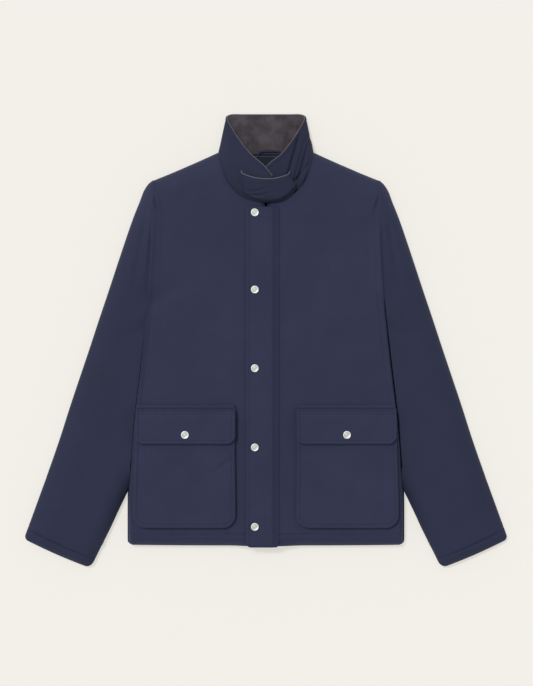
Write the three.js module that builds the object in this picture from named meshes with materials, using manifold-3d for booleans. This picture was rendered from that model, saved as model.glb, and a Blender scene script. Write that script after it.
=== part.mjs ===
// A foul weather jacket laid flat on its back, sleeves spread, zipped up and snapped shut.
//
// Millimetres. +X is the wearer's left, +Y runs from hem to collar, +Z comes up out of the front.
// The origin is the centre of the jacket's footprint, on the surface that it lies on.
// Left and right are the wearer's. Cloth is drawn at the thickness of shell and padding together.

import * as THREE from "three";
import { mergeVertices } from "three/addons/utils/BufferGeometryUtils.js";
import Module from "manifold-3d";

// ---------------------------------------------------------------- driving dimensions

const GAP = 0.3; // air between two pieces that touch
const SHELL = 3; // shell cloth with its padding
const LINING = 1.2;
const FRONT_HEIGHT = 36; // top face of the front, over the surface
const SIDE_EDGE_HEIGHT = SHELL + GAP + 3.2; // the front's top face where it meets the back at a side seam
const ARMHOLE_HEIGHT = 24; // the same at the armhole, where the sleeve opens into the body
const EDGE_ROUND = 34; // how far in from an edge the front takes to reach its full height

const HEM_Y = -377;
const SHOULDER_SLOPE = 0.41;
const SHOULDER_TOP_Y = 377; // where the two shoulder lines would meet over the neck
const UNDERARM_Y = 62;
const UNDERARM_REACH = [-90, 60]; // the stretch around the underarm over which the edge rises
const CENTRE_EDGE = 8; // each front stops this far from the centre line, beside the zip
const YOKE_Y = 104; // the fronts' yokes start here, just above the underarms
const NECK_RISE = 6; // the back's flat neck edge, past the end of the front's neck seam
const BACK_LINING = { inset: 10, thickness: 1 };
const FRONT_LINING_AIR = 2.2; // between the front and its lining
const FACING = { halfWidth: 62, bottom: 286, top: 334, thickness: 1 };
const LOOP = { x: 7, y: 336, halfWidth: 21, rise: 15, band: 5, thickness: 1.6, corner: 6 };

// Half width of the body from hem to shoulder: side seam, then armhole seam.
const SIDE_LINE = [
  [255, -377],
  [255, -300],
  [245, -148],
  [232, -37],
  [220, 74],
  [215, 166],
  [211, 240],
  [205, 293],
];
// The neck seam of one front, from the centre line up to the shoulder seam.
const NECK_LINE = [
  [0, 253],
  [24, 256],
  [48, 268],
  [68, 292],
  [82, 319],
  [89, 341],
];

const SLEEVE = {
  shoulder: [213, 290], // outer end of the shoulder seam
  bend: [233, 259], // below it the outer edge runs straight to the cuff
  cuffOuter: [442, -362],
  cuffInner: [325, -417.7],
  freeFrom: [256, -278], // where the inner edge leaves the side of the body
  clearance: 1.2, // between sleeve and body
  height: 35,
  cuffHeight: 30,
  innerEdgeHeight: 13,
  outerEdgeHeight: 8,
  shoulderShare: 0.78, // a slice's height close to its edges, as a share of its full height
  edgeShare: 0.09, // how far in that is, as a share of the slice's width
  crownShare: 0.24, // how far in the slice is at its full height
  underarmTurn: 120, // over this length below the underarm the slices turn square to the sleeve
  underarmLead: 60, // the outer edge is then this far ahead of the inner edge
};
// Slices of a sleeve: y at the inner edge beside the armhole, then inner and outer y further down.
const ARMHOLE_SLICES = [282, 262, 235, 190, 140, 95, 48, 5];
const BESIDE_BODY_SLICES = [
  [-60, -18],
  [-170, -115],
];
const FREE_OUTER_Y = -205; // outer edge of the slice where the sleeve leaves the body
const SLEEVE_LINING = { innerY: -255, outerY: -195, air: 1.5, fromCuff: 0.04 };
const degrees = THREE.MathUtils.degToRad;
const ELBOW = { x: 281, y: -41, lean: degrees(22), radius: 51.5, clearance: 1, swing: degrees(42) };
const FAR = 400; // reach of a cutter that passes right through

const PLACKET = { left: -36, right: 24, top: 252, bottom: -382, thickness: 2, corner: 9 };
// A closed snap holds the upper cloth this far off the lower one: its lift.
const SNAP = {
  x: -20.5,
  ys: [235.8, 93.5, -51.6, -197.5, -344],
  radius: 7.5,
  lift: 3.4,
  hole: 2.3,
  rivet: 1.9,
  recess: 2.7, // radius of the socket's inside
  socket: 0.76, // outer radius of the socket, as a share of the cap's
  flange: 0.68, // the same for the stud's flange
  drop: 1.9, // height of the socket
  sides: 10,
};

const POCKET = {
  x: 149, // centre line of each pocket
  top: -140, // mouth of the bag
  bottom: -349,
  width: 184,
  depth: 10, // how far the bellows stand off the front
  corner: 18,
  cloth: 2.2,
  offFront: 2.2, // clearance between the bag's walls and the front
};
const POCKET_COLUMNS = 12;
const FLAP = { top: -129, bottom: -193, width: 186, thickness: 2.2, corner: 11, snapDrop: 45 };
const WELT = { height: 8 }; // the band that the flap is sewn to, above the bag's mouth

const COLLAR = { shell: 2, lining: 1.4, piping: 0.9, columns: 34, liningFrom: 0.05 };
const TAB = { halfWidth: 45, top: 313, dip: 12, bottom: 261, thickness: 2, lift: 2.6 };
// The collar's crossing, which the throat tab lies on: its heights at the tab's bottom and top edges,
// and how much lower it is at x = side.
const CROSSING = { low: 52, high: 61, side: 60, sideDrop: 9 };

const ZIP = { top: 243, bottom: -364, chain: 3, chainHeight: 2.6, tape: 11.5, tapeThickness: 1.1, box: 8.7 };
const SLIDER = { fromTop: 15, halfWidth: 6.2, halfFoot: 4.4, length: 12, nose: 16, thickness: 1.3 };
const PULL = {
  halfTop: 2.6,
  halfFoot: 3.6,
  top: 10,
  foot: -16,
  end: -21,
  eyeY: -14.5,
  eye: 1.6,
  thickness: 1,
};
const CUFF_TAB = {
  fromCorner: 45,
  width: 24,
  base: 0.6,
  height: 16,
  thickness: 1.8,
  snapHeight: 7.4,
  snap: 5.5,
};
const THROAT_PAD = { x: -28, width: 26, height: 20, thickness: 0.9 };

// ---------------------------------------------------------------- colours of the finished jacket

const finish = (color, roughness, metalness = 0) =>
  new THREE.MeshStandardMaterial({ color, roughness, metalness });
const shellCloth = finish(0x36384e, 0.85);
const liningCloth = finish(0x20232f, 0.6);
const corduroy = finish(0x4a454b, 0.95);
const pipingCloth = finish(0x6a6a78, 0.8);
const snapMetal = finish(0xd4d6d6, 0.3, 1);
const zipMetal = finish(0x55585e, 0.4, 1);
const zipTape = finish(0x1e2230, 0.8);

// ---------------------------------------------------------------- tools

const wasm = await Module();
wasm.setup();

const jacket = new THREE.Group();
jacket.name = "foul_weather_jacket";

function add(name, geometry, material, parent = jacket) {
  const mesh = new THREE.Mesh(geometry, material);
  mesh.name = name;
  parent.add(mesh);
  return mesh;
}

// The same piece on the wearer's left and, mirrored, on the right.
const SIDES = { left: 1, right: -1 };
function addPair(name, geometry, material) {
  for (const side in SIDES) add(name + "_" + side, geometry, material).scale.x = SIDES[side];
}

// A closed geometry as a manifold-3d solid, and back.
function solid(geometry) {
  const bare = geometry.index ? geometry.toNonIndexed() : geometry.clone();
  bare.deleteAttribute("normal");
  bare.deleteAttribute("uv");
  const merged = mergeVertices(bare, 1e-3);
  return new wasm.Manifold(
    new wasm.Mesh({
      numProp: 3,
      vertProperties: new Float32Array(merged.attributes.position.array),
      triVerts: new Uint32Array(merged.index.array),
    }),
  );
}
function geometryOf(made) {
  const mesh = made.getMesh();
  return new THREE.BufferGeometry()
    .setAttribute("position", new THREE.BufferAttribute(new Float32Array(mesh.vertProperties), 3))
    .setIndex(new THREE.BufferAttribute(new Uint32Array(mesh.triVerts), 1));
}
function cut(geometry, ...cutters) {
  return geometryOf(cutters.reduce((whole, cutter) => whole.subtract(solid(cutter)), solid(geometry)));
}

// A block of cells whose every corner is sent to place(u, v, w), each running from 0 to 1.
function sheet(columns, rows, place) {
  const block = new THREE.BoxGeometry(1, 1, 1, columns, rows, 1);
  const corner = block.attributes.position;
  for (let i = 0; i < corner.count; i++) {
    const [u, v, w] = [corner.getX(i), corner.getY(i), corner.getZ(i)].map((value) => value + 0.5);
    corner.setXYZ(i, ...place(u, v, w));
  }
  return block;
}

// A closed skin over a row of rings that all have the same number of points.
function loft(rings) {
  const size = rings[0].length;
  const faces = [];
  for (let r = 0; r + 1 < rings.length; r++) {
    for (let k = 0; k < size; k++) {
      const [a, b] = [r * size + k, r * size + ((k + 1) % size)];
      faces.push(a, b, b + size, a, b + size, a + size);
    }
  }
  const last = (rings.length - 1) * size;
  for (let k = 1; k + 1 < size; k++) {
    faces.push(0, k + 1, k);
    faces.push(last, last + k, last + k + 1);
  }
  return new THREE.BufferGeometry()
    .setAttribute("position", new THREE.Float32BufferAttribute(rings.flat(2), 3))
    .setIndex(faces);
}

function box(low, high) {
  const size = high.map((value, i) => value - low[i]);
  return new THREE.BoxGeometry(...size).translate(...low.map((value, i) => value + size[i] / 2));
}

function upright(radius, bottom, top, segments = 24) {
  const height = top - bottom;
  return new THREE.CylinderGeometry(radius, radius, height, segments)
    .rotateX(Math.PI / 2)
    .translate(0, 0, bottom + height / 2);
}

// Straight steps between the points of a line, read as x for a y or as y for an x.
function between(points, value, from, to) {
  const rising = points[0][from] < points[points.length - 1][from];
  const ordered = rising ? points : [...points].reverse();
  const next = ordered.findIndex((point) => point[from] >= value);
  if (next === 0) return ordered[0][to];
  if (next < 0) return ordered[ordered.length - 1][to];
  const [a, b] = [ordered[next - 1], ordered[next]];
  return a[to] + ((b[to] - a[to]) * (value - a[from])) / (b[from] - a[from]);
}
const lerp = THREE.MathUtils.lerp;
const mix = (a, b, t) => a.map((value, i) => lerp(value, b[i], t));

// ---------------------------------------------------------------- body

const sideX = (y) => between(SIDE_LINE, y, 1, 0);
const shoulderY = (x) => SHOULDER_TOP_Y - SHOULDER_SLOPE * x;
const neckX = NECK_LINE[NECK_LINE.length - 1][0];
const shoulderX = SIDE_LINE[SIDE_LINE.length - 1][0];
const frontTopY = (x) => (x < neckX ? between(NECK_LINE, x, 0, 1) : shoulderY(x));
const rise = (distance) => Math.sin((Math.PI / 2) * THREE.MathUtils.clamp(distance / EDGE_ROUND, 0, 1));

// Height of the front's top face: full over the middle, rounding down to the side and the shoulder.
function frontHeight(x, y) {
  const side = lerp(
    SIDE_EDGE_HEIGHT,
    ARMHOLE_HEIGHT,
    THREE.MathUtils.smoothstep(y, UNDERARM_Y + UNDERARM_REACH[0], UNDERARM_Y + UNDERARM_REACH[1]),
  );
  const low = lerp(SIDE_EDGE_HEIGHT, side, rise(shoulderY(x) - y));
  const bySide = lerp(low, FRONT_HEIGHT, rise(sideX(y) - x));
  return lerp(SIDE_EDGE_HEIGHT, bySide, rise(shoulderY(x) - y));
}

// Columns of the front stand closer together along the neck seam, where its top edge is steep, and
// by the side; rows by the shoulder. Both are shares of the way.
const FRONT_COLUMNS = [0, 0.12, 0.24, 0.31, 0.36, 0.4, 0.435, 0.5, 0.64, 0.78, 0.88, 0.95, 1];
const FRONT_ROWS = [0, 0.09, 0.18, 0.27, 0.36, 0.45, 0.54, 0.62, 0.7, 0.78, 0.85, 0.91, 0.96, 1];
const LINING_FIRST_ROW = 0.012; // the front lining starts this share above the hem

function frontSheet({ columns, rows, centre, top, thickness }) {
  return sheet(columns.length - 1, rows.length - 1, (u, v, w) => {
    const share = columns[Math.round(u * (columns.length - 1))];
    const y = lerp(HEM_Y, frontTopY(share * shoulderX), rows[Math.round(v * (rows.length - 1))]);
    const x = Math.max(centre, lerp(CENTRE_EDGE, sideX(y), share));
    return [x, y, frontHeight(x, y) - top - thickness * (1 - w)];
  });
}

// Each front is a lower panel and a yoke, which runs on over the chest to the neck and the shoulder.
function addFront(side, front) {
  const whole = solid(front);
  const above = (y) => solid(box([0, y, -FAR], [FAR, FAR, FAR]));
  const panels = {
    ["front_yoke_" + side]: whole.intersect(above(YOKE_Y)),
    ["front_panel_" + side]: whole.subtract(above(YOKE_Y - GAP)),
  };
  for (const [name, made] of Object.entries(panels)) {
    add(name, geometryOf(made), shellCloth).scale.x = SIDES[side];
  }
}

function addFronts() {
  const [columns, rows] = [FRONT_COLUMNS, FRONT_ROWS];
  const front = frontSheet({ columns, rows, centre: CENTRE_EDGE, top: 0, thickness: SHELL });
  const studHoles = SNAP.ys.map((y) => snapHole(FRONT_HEIGHT - SHELL).translate(-SNAP.x, y, 0));
  addFront("left", front);
  addFront("right", cut(front, ...studHoles));
  // The lining stops short of the side, the shoulder and the hem.
  const lining = frontSheet({
    columns: columns.slice(0, -1),
    rows: [LINING_FIRST_ROW, ...rows.slice(1, -2)],
    centre: ZIP.chain + ZIP.tape + GAP + 1,
    top: SHELL + GAP + FRONT_LINING_AIR,
    thickness: LINING,
  });
  addPair("front_lining", lining, liningCloth);
}

function addBack() {
  const [columns, rows] = [12, 9];
  const backSheet = (inset, bottom, thickness) =>
    sheet(columns, rows, (u, v, w) => {
      const across = 2 * u - 1;
      const flatNeck = frontTopY(neckX) + NECK_RISE;
      const top = Math.abs(across * shoulderX) < neckX ? flatNeck : shoulderY(Math.abs(across) * shoulderX);
      const y = lerp(HEM_Y + inset, Math.min(flatNeck, top) - inset, v);
      return [across * (sideX(y) - inset), y, bottom + thickness * w];
    });
  add("back_panel", backSheet(0, 0, SHELL), shellCloth);
  add("back_lining", backSheet(BACK_LINING.inset, SHELL + GAP, BACK_LINING.thickness), liningCloth);
}

// A band with square feet and round upper corners, drawn about its own middle.
function loopShape({ halfWidth, rise: height, band, corner }) {
  const shape = new THREE.Shape();
  shape.moveTo(-halfWidth, 0).lineTo(-halfWidth, height - corner);
  shape.quadraticCurveTo(-halfWidth, height, -halfWidth + corner, height);
  shape.lineTo(halfWidth - corner, height);
  shape.quadraticCurveTo(halfWidth, height, halfWidth, height - corner).lineTo(halfWidth, 0);
  shape.lineTo(halfWidth - band, 0).lineTo(halfWidth - band, height - band);
  shape.lineTo(-halfWidth + band, height - band).lineTo(-halfWidth + band, 0);
  return shape;
}

function addNeckFacingAndLoop() {
  const floor = SHELL + GAP + BACK_LINING.thickness + GAP;
  const top = floor + FACING.thickness;
  const facing = box([-FACING.halfWidth, FACING.bottom, floor], [FACING.halfWidth, FACING.top, top]);
  add("neck_facing", facing, shellCloth);
  const settings = { depth: LOOP.thickness, bevelEnabled: false, curveSegments: 4 };
  const strip = new THREE.ExtrudeGeometry(loopShape(LOOP), settings);
  add("hanger_loop", strip.translate(LOOP.x, LOOP.y, top + GAP), shellCloth);
}

// ---------------------------------------------------------------- sleeves

// One slice of a sleeve, from its inner edge to its outer edge, pulled in all round by inset.
// An open one runs on past its inner edge by openBy, with no wall there.
function sleeveRing({ inner, outer, height, innerHeight }, inset, openBy) {
  const width = Math.hypot(outer[0] - inner[0], outer[1] - inner[1]);
  const { shoulderShare, edgeShare, crownShare, outerEdgeHeight } = SLEEVE;
  const [edge, nearEdge, crown] = [0, edgeShare, crownShare].map((share) => share + inset / width);
  const innerEnd = openBy ? -openBy / width : edge;
  const top = height - inset;
  const shoulder = (least) => Math.max(shoulderShare * height, least) - shoulderShare * inset;
  const outline = [
    [innerEnd, inset],
    [1 - edge, inset],
    [1 - edge, outerEdgeHeight],
    [1 - nearEdge, shoulder(0)],
    [1 - crown, top],
    [crown, top],
    [nearEdge, shoulder(innerHeight)],
    [innerEnd, innerHeight - (openBy ? inset : 0)],
  ];
  return outline.map(([share, z]) => [...mix(inner, outer, share), z]);
}

const outerEdgeX = (y) => between([SLEEVE.cuffOuter, SLEEVE.bend, SLEEVE.shoulder], y, 1, 0);
const outerPoint = (y) => [outerEdgeX(y), y];
const besideBody = (y) => [sideX(y) + SLEEVE.clearance, y];

// The slices of a sleeve from shoulder to cuff. Those beside the armhole have no inner wall.
function sleeveSlices() {
  const byArmhole = ARMHOLE_SLICES.map((y) => {
    const turn = THREE.MathUtils.clamp((UNDERARM_Y - y) / SLEEVE.underarmTurn, 0, 1);
    const outer = outerPoint(y + turn * SLEEVE.underarmLead);
    return { inner: besideBody(y), outer, armhole: y > UNDERARM_Y };
  });
  const below = BESIDE_BODY_SLICES.map(([inner, outer]) => ({
    inner: besideBody(inner),
    outer: outerPoint(outer),
  }));
  const free = { inner: SLEEVE.freeFrom, outer: outerPoint(FREE_OUTER_Y) };
  const cuff = { inner: SLEEVE.cuffInner, outer: SLEEVE.cuffOuter };
  return [...byArmhole, ...below, free, cuff].map(withHeights);
}

// Adds a slice's full height and its height at the inner edge. The sleeve is lower close to the shoulder.
function withHeights(slice) {
  const fromShoulder = SLEEVE.shoulder[1] - slice.outer[1];
  const down = THREE.MathUtils.clamp(fromShoulder / (SLEEVE.shoulder[1] - SLEEVE.cuffOuter[1]), 0, 1);
  const nearTop = THREE.MathUtils.clamp((fromShoulder + 25) / 90, 0.3, 1);
  const height = lerp(SLEEVE.height, SLEEVE.cuffHeight, down) * nearTop;
  const byArmhole = Math.min(ARMHOLE_HEIGHT, SLEEVE.shoulderShare * height);
  return { ...slice, height, innerHeight: slice.armhole ? byArmhole : SLEEVE.innerEdgeHeight };
}

// The skin over the slices, pulled in by inset. With past its ends are pushed out along the sleeve, so
// that a cutter leaves them open; with openBy it reaches out through the armhole.
function sleeveSkin(slices, inset, { past = 0, openBy = 0 } = {}) {
  const rings = slices.map((slice) => sleeveRing(slice, inset, slice.armhole ? openBy : 0));
  if (past) {
    const run = new THREE.Vector2(...SLEEVE.cuffOuter).sub(new THREE.Vector2(...SLEEVE.bend));
    run.setLength(past);
    const moved = (ring, sign) => ring.map(([x, y, z]) => [x + sign * run.x, y + sign * run.y, z]);
    rings.push(moved(rings[rings.length - 1], 1));
    if (!slices[0].armhole) rings.unshift(moved(rings[0], -1));
  }
  return loft(rings);
}

// Everything on the shoulder side of a line through the elbow, turned by the given angle.
function aboveElbow(angle) {
  const half = box([-FAR, 0, -FAR], [FAR, 2 * FAR, FAR]);
  return solid(half.rotateZ(ELBOW.lean + angle).translate(ELBOW.x, ELBOW.y, 0));
}

// The two halves of a sleeve part along a round elbow. The lower half is cut back outside it by the
// angle that it swings through.
function addSleeves() {
  const slices = sleeveSlices();
  const whole = solid(sleeveSkin(slices, 0));
  const hollow = solid(sleeveSkin(slices, SHELL, { past: 40, openBy: 12 }));
  const round = (radius) => solid(upright(radius, -FAR, FAR, 40).translate(ELBOW.x, ELBOW.y, 0));
  const outerHalf = solid(box([0, -FAR, -FAR], [FAR, FAR, FAR]).translate(ELBOW.x, ELBOW.y, 0));
  const swept = aboveElbow(-ELBOW.swing).intersect(outerHalf);
  const upper = whole.intersect(aboveElbow(0).add(round(ELBOW.radius))).subtract(hollow);
  const lower = whole
    .subtract(aboveElbow(0))
    .subtract(round(ELBOW.radius + ELBOW.clearance))
    .subtract(swept)
    .subtract(hollow)
    .subtract(solid(onCuffEdge(snapHole(-SHELL), 0)));
  addPair("sleeve_upper", geometryOf(upper), shellCloth);
  addPair("sleeve_lower", geometryOf(lower), shellCloth);
  addSleeveLinings();
}

function addSleeveLinings() {
  const { innerY, outerY, air, fromCuff } = SLEEVE_LINING;
  const top = { inner: [SLEEVE.freeFrom[0] - 2, innerY], outer: [outerEdgeX(outerY) - 2, outerY] };
  const bottom = {
    inner: mix(SLEEVE.cuffInner, top.inner, fromCuff),
    outer: mix(SLEEVE.cuffOuter, top.outer, fromCuff),
  };
  const slices = [top, bottom].map(withHeights);
  const clear = SHELL + GAP + air;
  const inside = sleeveSkin(slices, clear + LINING, { past: 30 });
  addPair("sleeve_lining", cut(sleeveSkin(slices, clear), inside), liningCloth);
}

// ---------------------------------------------------------------- collar

// The neck seam and the collar's top edge, from the back centre round the left side to the front end.
// The right front end lies over the left one, so each end has points of its own.
const BACK = 2.4;
const seamSide = [
  [0, 349, BACK],
  [45, 349, BACK],
  [76, 348, 4],
  [91, 343, 11],
  [86, 322, 24],
  [70.5, 293, 37],
  [49, 270, 42],
  [22, 257.5, 42],
];
const edgeSide = [
  [0, 415, BACK],
  [42, 415, BACK],
  [66, 414, 4],
  [75, 408, 13],
  [66, 395, 25],
  [51, 370, 38],
  [31, 345, 48],
  [8, 325, 51],
];
const underEnd = { seam: [-6, 255, 42], edge: [-10, 308, 48] };
const overEnd = { seam: [6, 255, 46], edge: [11, 303, 57] };

function collarCurves() {
  const mirror = ([x, y, z]) => [-x, y, z];
  // On the right the last two stretches climb over the left end.
  const over = { seam: [-14, 256, 46], edge: [-6, 323, 56] };
  const right = (side, end, last) => [last, end, ...side.slice(1, -1).reverse().map(mirror)];
  const seam = [...right(seamSide, over.seam, overEnd.seam), ...seamSide, underEnd.seam];
  const edge = [...right(edgeSide, over.edge, overEnd.edge), ...edgeSide, underEnd.edge];
  const curve = (points) => new THREE.CatmullRomCurve3(points.map((p) => new THREE.Vector3(...p)));
  return { seam: curve(seam), edge: curve(edge) };
}

function collarPoint({ seam, edge }, along, up) {
  return seam.getPoint(along).lerp(edge.getPoint(along), up);
}

function collarSheet(curves, columns, low, high, range) {
  const step = 0.01;
  return sheet(columns, 3, (u, v, w) => {
    const [along, up] = [lerp(range[0], range[1], u), lerp(range[2], range[3], v)];
    const here = collarPoint(curves, along, up);
    const [a, b] = [Math.max(0, along - step), Math.min(1, along + step)];
    const round = collarPoint(curves, b, up).sub(collarPoint(curves, a, up));
    const rising = curves.edge.getPoint(along).sub(curves.seam.getPoint(along));
    const inward = round.cross(rising).normalize();
    return here.addScaledVector(inward, lerp(low, high, w)).toArray();
  });
}

function addCollar() {
  const curves = collarCurves();
  const { columns, liningFrom } = COLLAR;
  const shell = collarSheet(curves, columns, -COLLAR.shell, 0, [0, 1, 0, 1]);
  add("collar_shell", shell, shellCloth);
  const inside = GAP + 0.3;
  const lining = collarSheet(curves, columns, inside, inside + COLLAR.lining, [0, 1, liningFrom, 1]);
  add("collar_lining", lining, corduroy);

  const ringEdge = Array.from({ length: columns + 1 }, (_, i) => {
    const edge = collarPoint(curves, i / columns, 1);
    const rising = edge.clone().sub(curves.seam.getPoint(i / columns)).normalize();
    return edge.addScaledVector(rising, COLLAR.piping + 0.8);
  });
  add("collar_piping", cord(ringEdge, COLLAR.piping, columns), pipingCloth);
}

// A round cord of six sides along the points.
function cord(points, radius, steps) {
  const section = new THREE.Shape();
  section.absarc(0, 0, radius, 0, 2 * Math.PI);
  const path = new THREE.CatmullRomCurve3(points);
  return new THREE.ExtrudeGeometry(section, { steps, extrudePath: path, curveSegments: 3 });
}

// Top face of the collar's front over the crossing, which the throat tab lies on.
function tabFloor(x, y) {
  const up = (y - TAB.bottom) / (TAB.top - TAB.bottom);
  return lerp(CROSSING.low, CROSSING.high, up) - CROSSING.sideDrop * (x / CROSSING.side) ** 2;
}

function addThroatTab() {
  const place = (x, y, over) => [x, y, tabFloor(x, y) + over];
  const topY = (x) => TAB.top - TAB.dip * (1 - (x / TAB.halfWidth) ** 2);
  const bottomY = (x) => TAB.bottom + 20 * (x / TAB.halfWidth) ** 4 + 4 * (x / TAB.halfWidth) ** 2;
  const tab = sheet(10, 4, (u, v, w) => {
    const x = lerp(-TAB.halfWidth, TAB.halfWidth, u);
    return place(x, lerp(bottomY(x), topY(x), v), TAB.lift + TAB.thickness * w);
  });
  add("throat_tab", tab, shellCloth);
  const edge = Array.from({ length: 9 }, (_, i) => {
    const x = lerp(-TAB.halfWidth, TAB.halfWidth, i / 8);
    return new THREE.Vector3(...place(x, topY(x) + 1.5, TAB.lift + 1));
  });
  add("throat_piping", cord(edge, COLLAR.piping, 14), pipingCloth);
  const pad = (bottom) => {
    const { x, width, height, thickness } = THROAT_PAD;
    const middleY = (TAB.top - TAB.dip + TAB.bottom) / 2;
    const patch = (u, v, w) => [x + (u - 0.5) * width, middleY + (v - 0.5) * height, bottom + w * thickness];
    return sheet(4, 2, (u, v, w) => place(...patch(u, v, w)));
  };
  add("throat_hook_pad", pad(TAB.lift - 0.5 - THROAT_PAD.thickness), zipTape);
  add("throat_loop_pad", pad(TAB.lift - 1 - 2 * THROAT_PAD.thickness), zipTape);
}

// ---------------------------------------------------------------- snaps

// Cap, rivet and socket of a snap, riveted through cloth that lies from 0 to cloth.
function snapCap(radius, cloth) {
  const { rivet, recess, drop } = SNAP;
  const socket = SNAP.socket * radius;
  return lathe([
    [0, -GAP - 0.6],
    [recess, -GAP - 0.6],
    [recess, -drop - GAP],
    [socket, -drop - GAP],
    [socket, -GAP],
    [rivet, -GAP],
    [rivet, cloth + GAP],
    [radius, cloth + GAP],
    [radius, cloth + GAP + 1.1],
    [0.72 * radius, cloth + GAP + 2.3],
    [0, cloth + GAP + 2.1],
  ]);
}

// Stud of a snap with its rivet and backing washer, on cloth that lies from -cloth to 0.
function snapStud(radius, cloth) {
  const { rivet } = SNAP;
  const flange = SNAP.flange * radius;
  return lathe([
    [0, -cloth - GAP - 0.9],
    [flange, -cloth - GAP - 0.9],
    [flange, -cloth - GAP],
    [rivet, -cloth - GAP],
    [rivet, GAP],
    [flange, GAP],
    [flange, GAP + 0.6],
    [rivet + GAP, GAP + 0.6],
    [rivet + GAP, GAP + 2],
    [0, GAP + 2],
  ]);
}

// A cutter for the hole that a snap's rivet passes through, in cloth whose underside is at floor.
const snapHole = (floor) => upright(SNAP.hole, floor - 1, floor + SHELL + 1, 12);

function lathe(profile) {
  const points = profile.map(([radius, height]) => new THREE.Vector2(radius, height));
  return new THREE.LatheGeometry(points, SNAP.sides).rotateX(Math.PI / 2);
}

function placketShape() {
  const { left, right, top, bottom, corner } = PLACKET;
  const shape = new THREE.Shape();
  shape.moveTo(left, top).lineTo(left, bottom + corner);
  shape.quadraticCurveTo(left, bottom, left + corner, bottom);
  shape.lineTo(right, bottom).lineTo(right, top);
  return shape;
}

function addPlacketAndSnaps() {
  const floor = FRONT_HEIGHT + SNAP.lift;
  const slab = new THREE.ExtrudeGeometry(placketShape(), {
    depth: PLACKET.thickness,
    bevelEnabled: false,
    curveSegments: 5,
  }).translate(0, 0, floor);
  const holes = SNAP.ys.map((y) => snapHole(floor).translate(SNAP.x, y, 0));
  add("storm_placket", cut(slab, ...holes), shellCloth);
  SNAP.ys.forEach((y, i) => {
    const cap = snapCap(SNAP.radius, PLACKET.thickness);
    add(`front_snap_cap_${i + 1}`, cap.translate(SNAP.x, y, floor), snapMetal);
    const stud = snapStud(SNAP.radius, SHELL);
    add(`front_snap_stud_${i + 1}`, stud.translate(SNAP.x, y, FRONT_HEIGHT), snapMetal);
  });
}

// ---------------------------------------------------------------- zip

// The slider's body, wider at its nose, about the middle of its foot.
function sliderShape({ halfWidth, halfFoot, length, nose }) {
  const shape = new THREE.Shape();
  shape.moveTo(-halfWidth, length).lineTo(-halfWidth, 2).lineTo(-halfFoot, 0);
  shape.lineTo(halfFoot, 0).lineTo(halfWidth, 2).lineTo(halfWidth, length);
  shape.quadraticCurveTo(0, nose, -halfWidth, length);
  return shape;
}

// The pull tag, with an eye near its round foot.
function pullShape({ halfTop, halfFoot, top, foot, end, eyeY, eye }) {
  const shape = new THREE.Shape();
  shape.moveTo(-halfTop, top).lineTo(-halfFoot, foot).quadraticCurveTo(0, end, halfFoot, foot);
  shape.lineTo(halfTop, top);
  shape.holes.push(new THREE.Path().absarc(0, eyeY, eye, 0, 2 * Math.PI, true));
  return shape;
}

function addZip() {
  const middle = FRONT_HEIGHT - SHELL;
  const [chainFloor, chainTop] = [middle - 0.2, middle - 0.2 + ZIP.chainHeight];
  const chain = box([GAP - 0.05, ZIP.bottom, chainFloor], [ZIP.chain, ZIP.top, chainTop]);
  addPair("zip_chain", chain, zipMetal);
  const tapeFloor = middle - GAP - ZIP.tapeThickness;
  const tapeLow = [ZIP.chain + GAP, ZIP.bottom - 8, tapeFloor];
  const tapeHigh = [ZIP.chain + ZIP.tape, ZIP.top + 6, tapeFloor + ZIP.tapeThickness];
  addPair("zip_tape", box(tapeLow, tapeHigh), zipTape);
  const boxTop = ZIP.bottom - GAP;
  const boxLow = [-ZIP.chain, boxTop - ZIP.box, middle - 1];
  add("zip_box", box(boxLow, [ZIP.chain, boxTop, chainTop + 0.2]), zipMetal);

  const sliderY = ZIP.top - SLIDER.fromTop;
  const sliderFloor = chainTop + GAP;
  const plain = { bevelEnabled: false, curveSegments: 5 };
  const slider = new THREE.ExtrudeGeometry(sliderShape(SLIDER), { ...plain, depth: SLIDER.thickness });
  add("zip_slider", slider.translate(0, sliderY, sliderFloor), zipMetal);
  const pull = new THREE.ExtrudeGeometry(pullShape(PULL), { ...plain, depth: PULL.thickness });
  add("zip_pull", pull.translate(0, sliderY, sliderFloor + SLIDER.thickness + GAP), zipMetal);
}

// ---------------------------------------------------------------- pockets

// A slab of a pocket that follows the front, from low to high above it, its lower corners rounded.
function pocketSlab({ width, top, bottom, corner, low, high, rows }) {
  return sheet(POCKET_COLUMNS, rows, (u, v, w) => {
    // Rows stand closer together towards the rounded corners.
    const y = lerp(bottom, top, v ** 1.7);
    const above = Math.min(y - bottom, corner);
    const half = width / 2 - corner + Math.sqrt(corner ** 2 - (corner - above) ** 2);
    const x = POCKET.x + (2 * u - 1) * half;
    return [x, y, frontHeight(x, y) + lerp(low, high, w)];
  });
}

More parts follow.
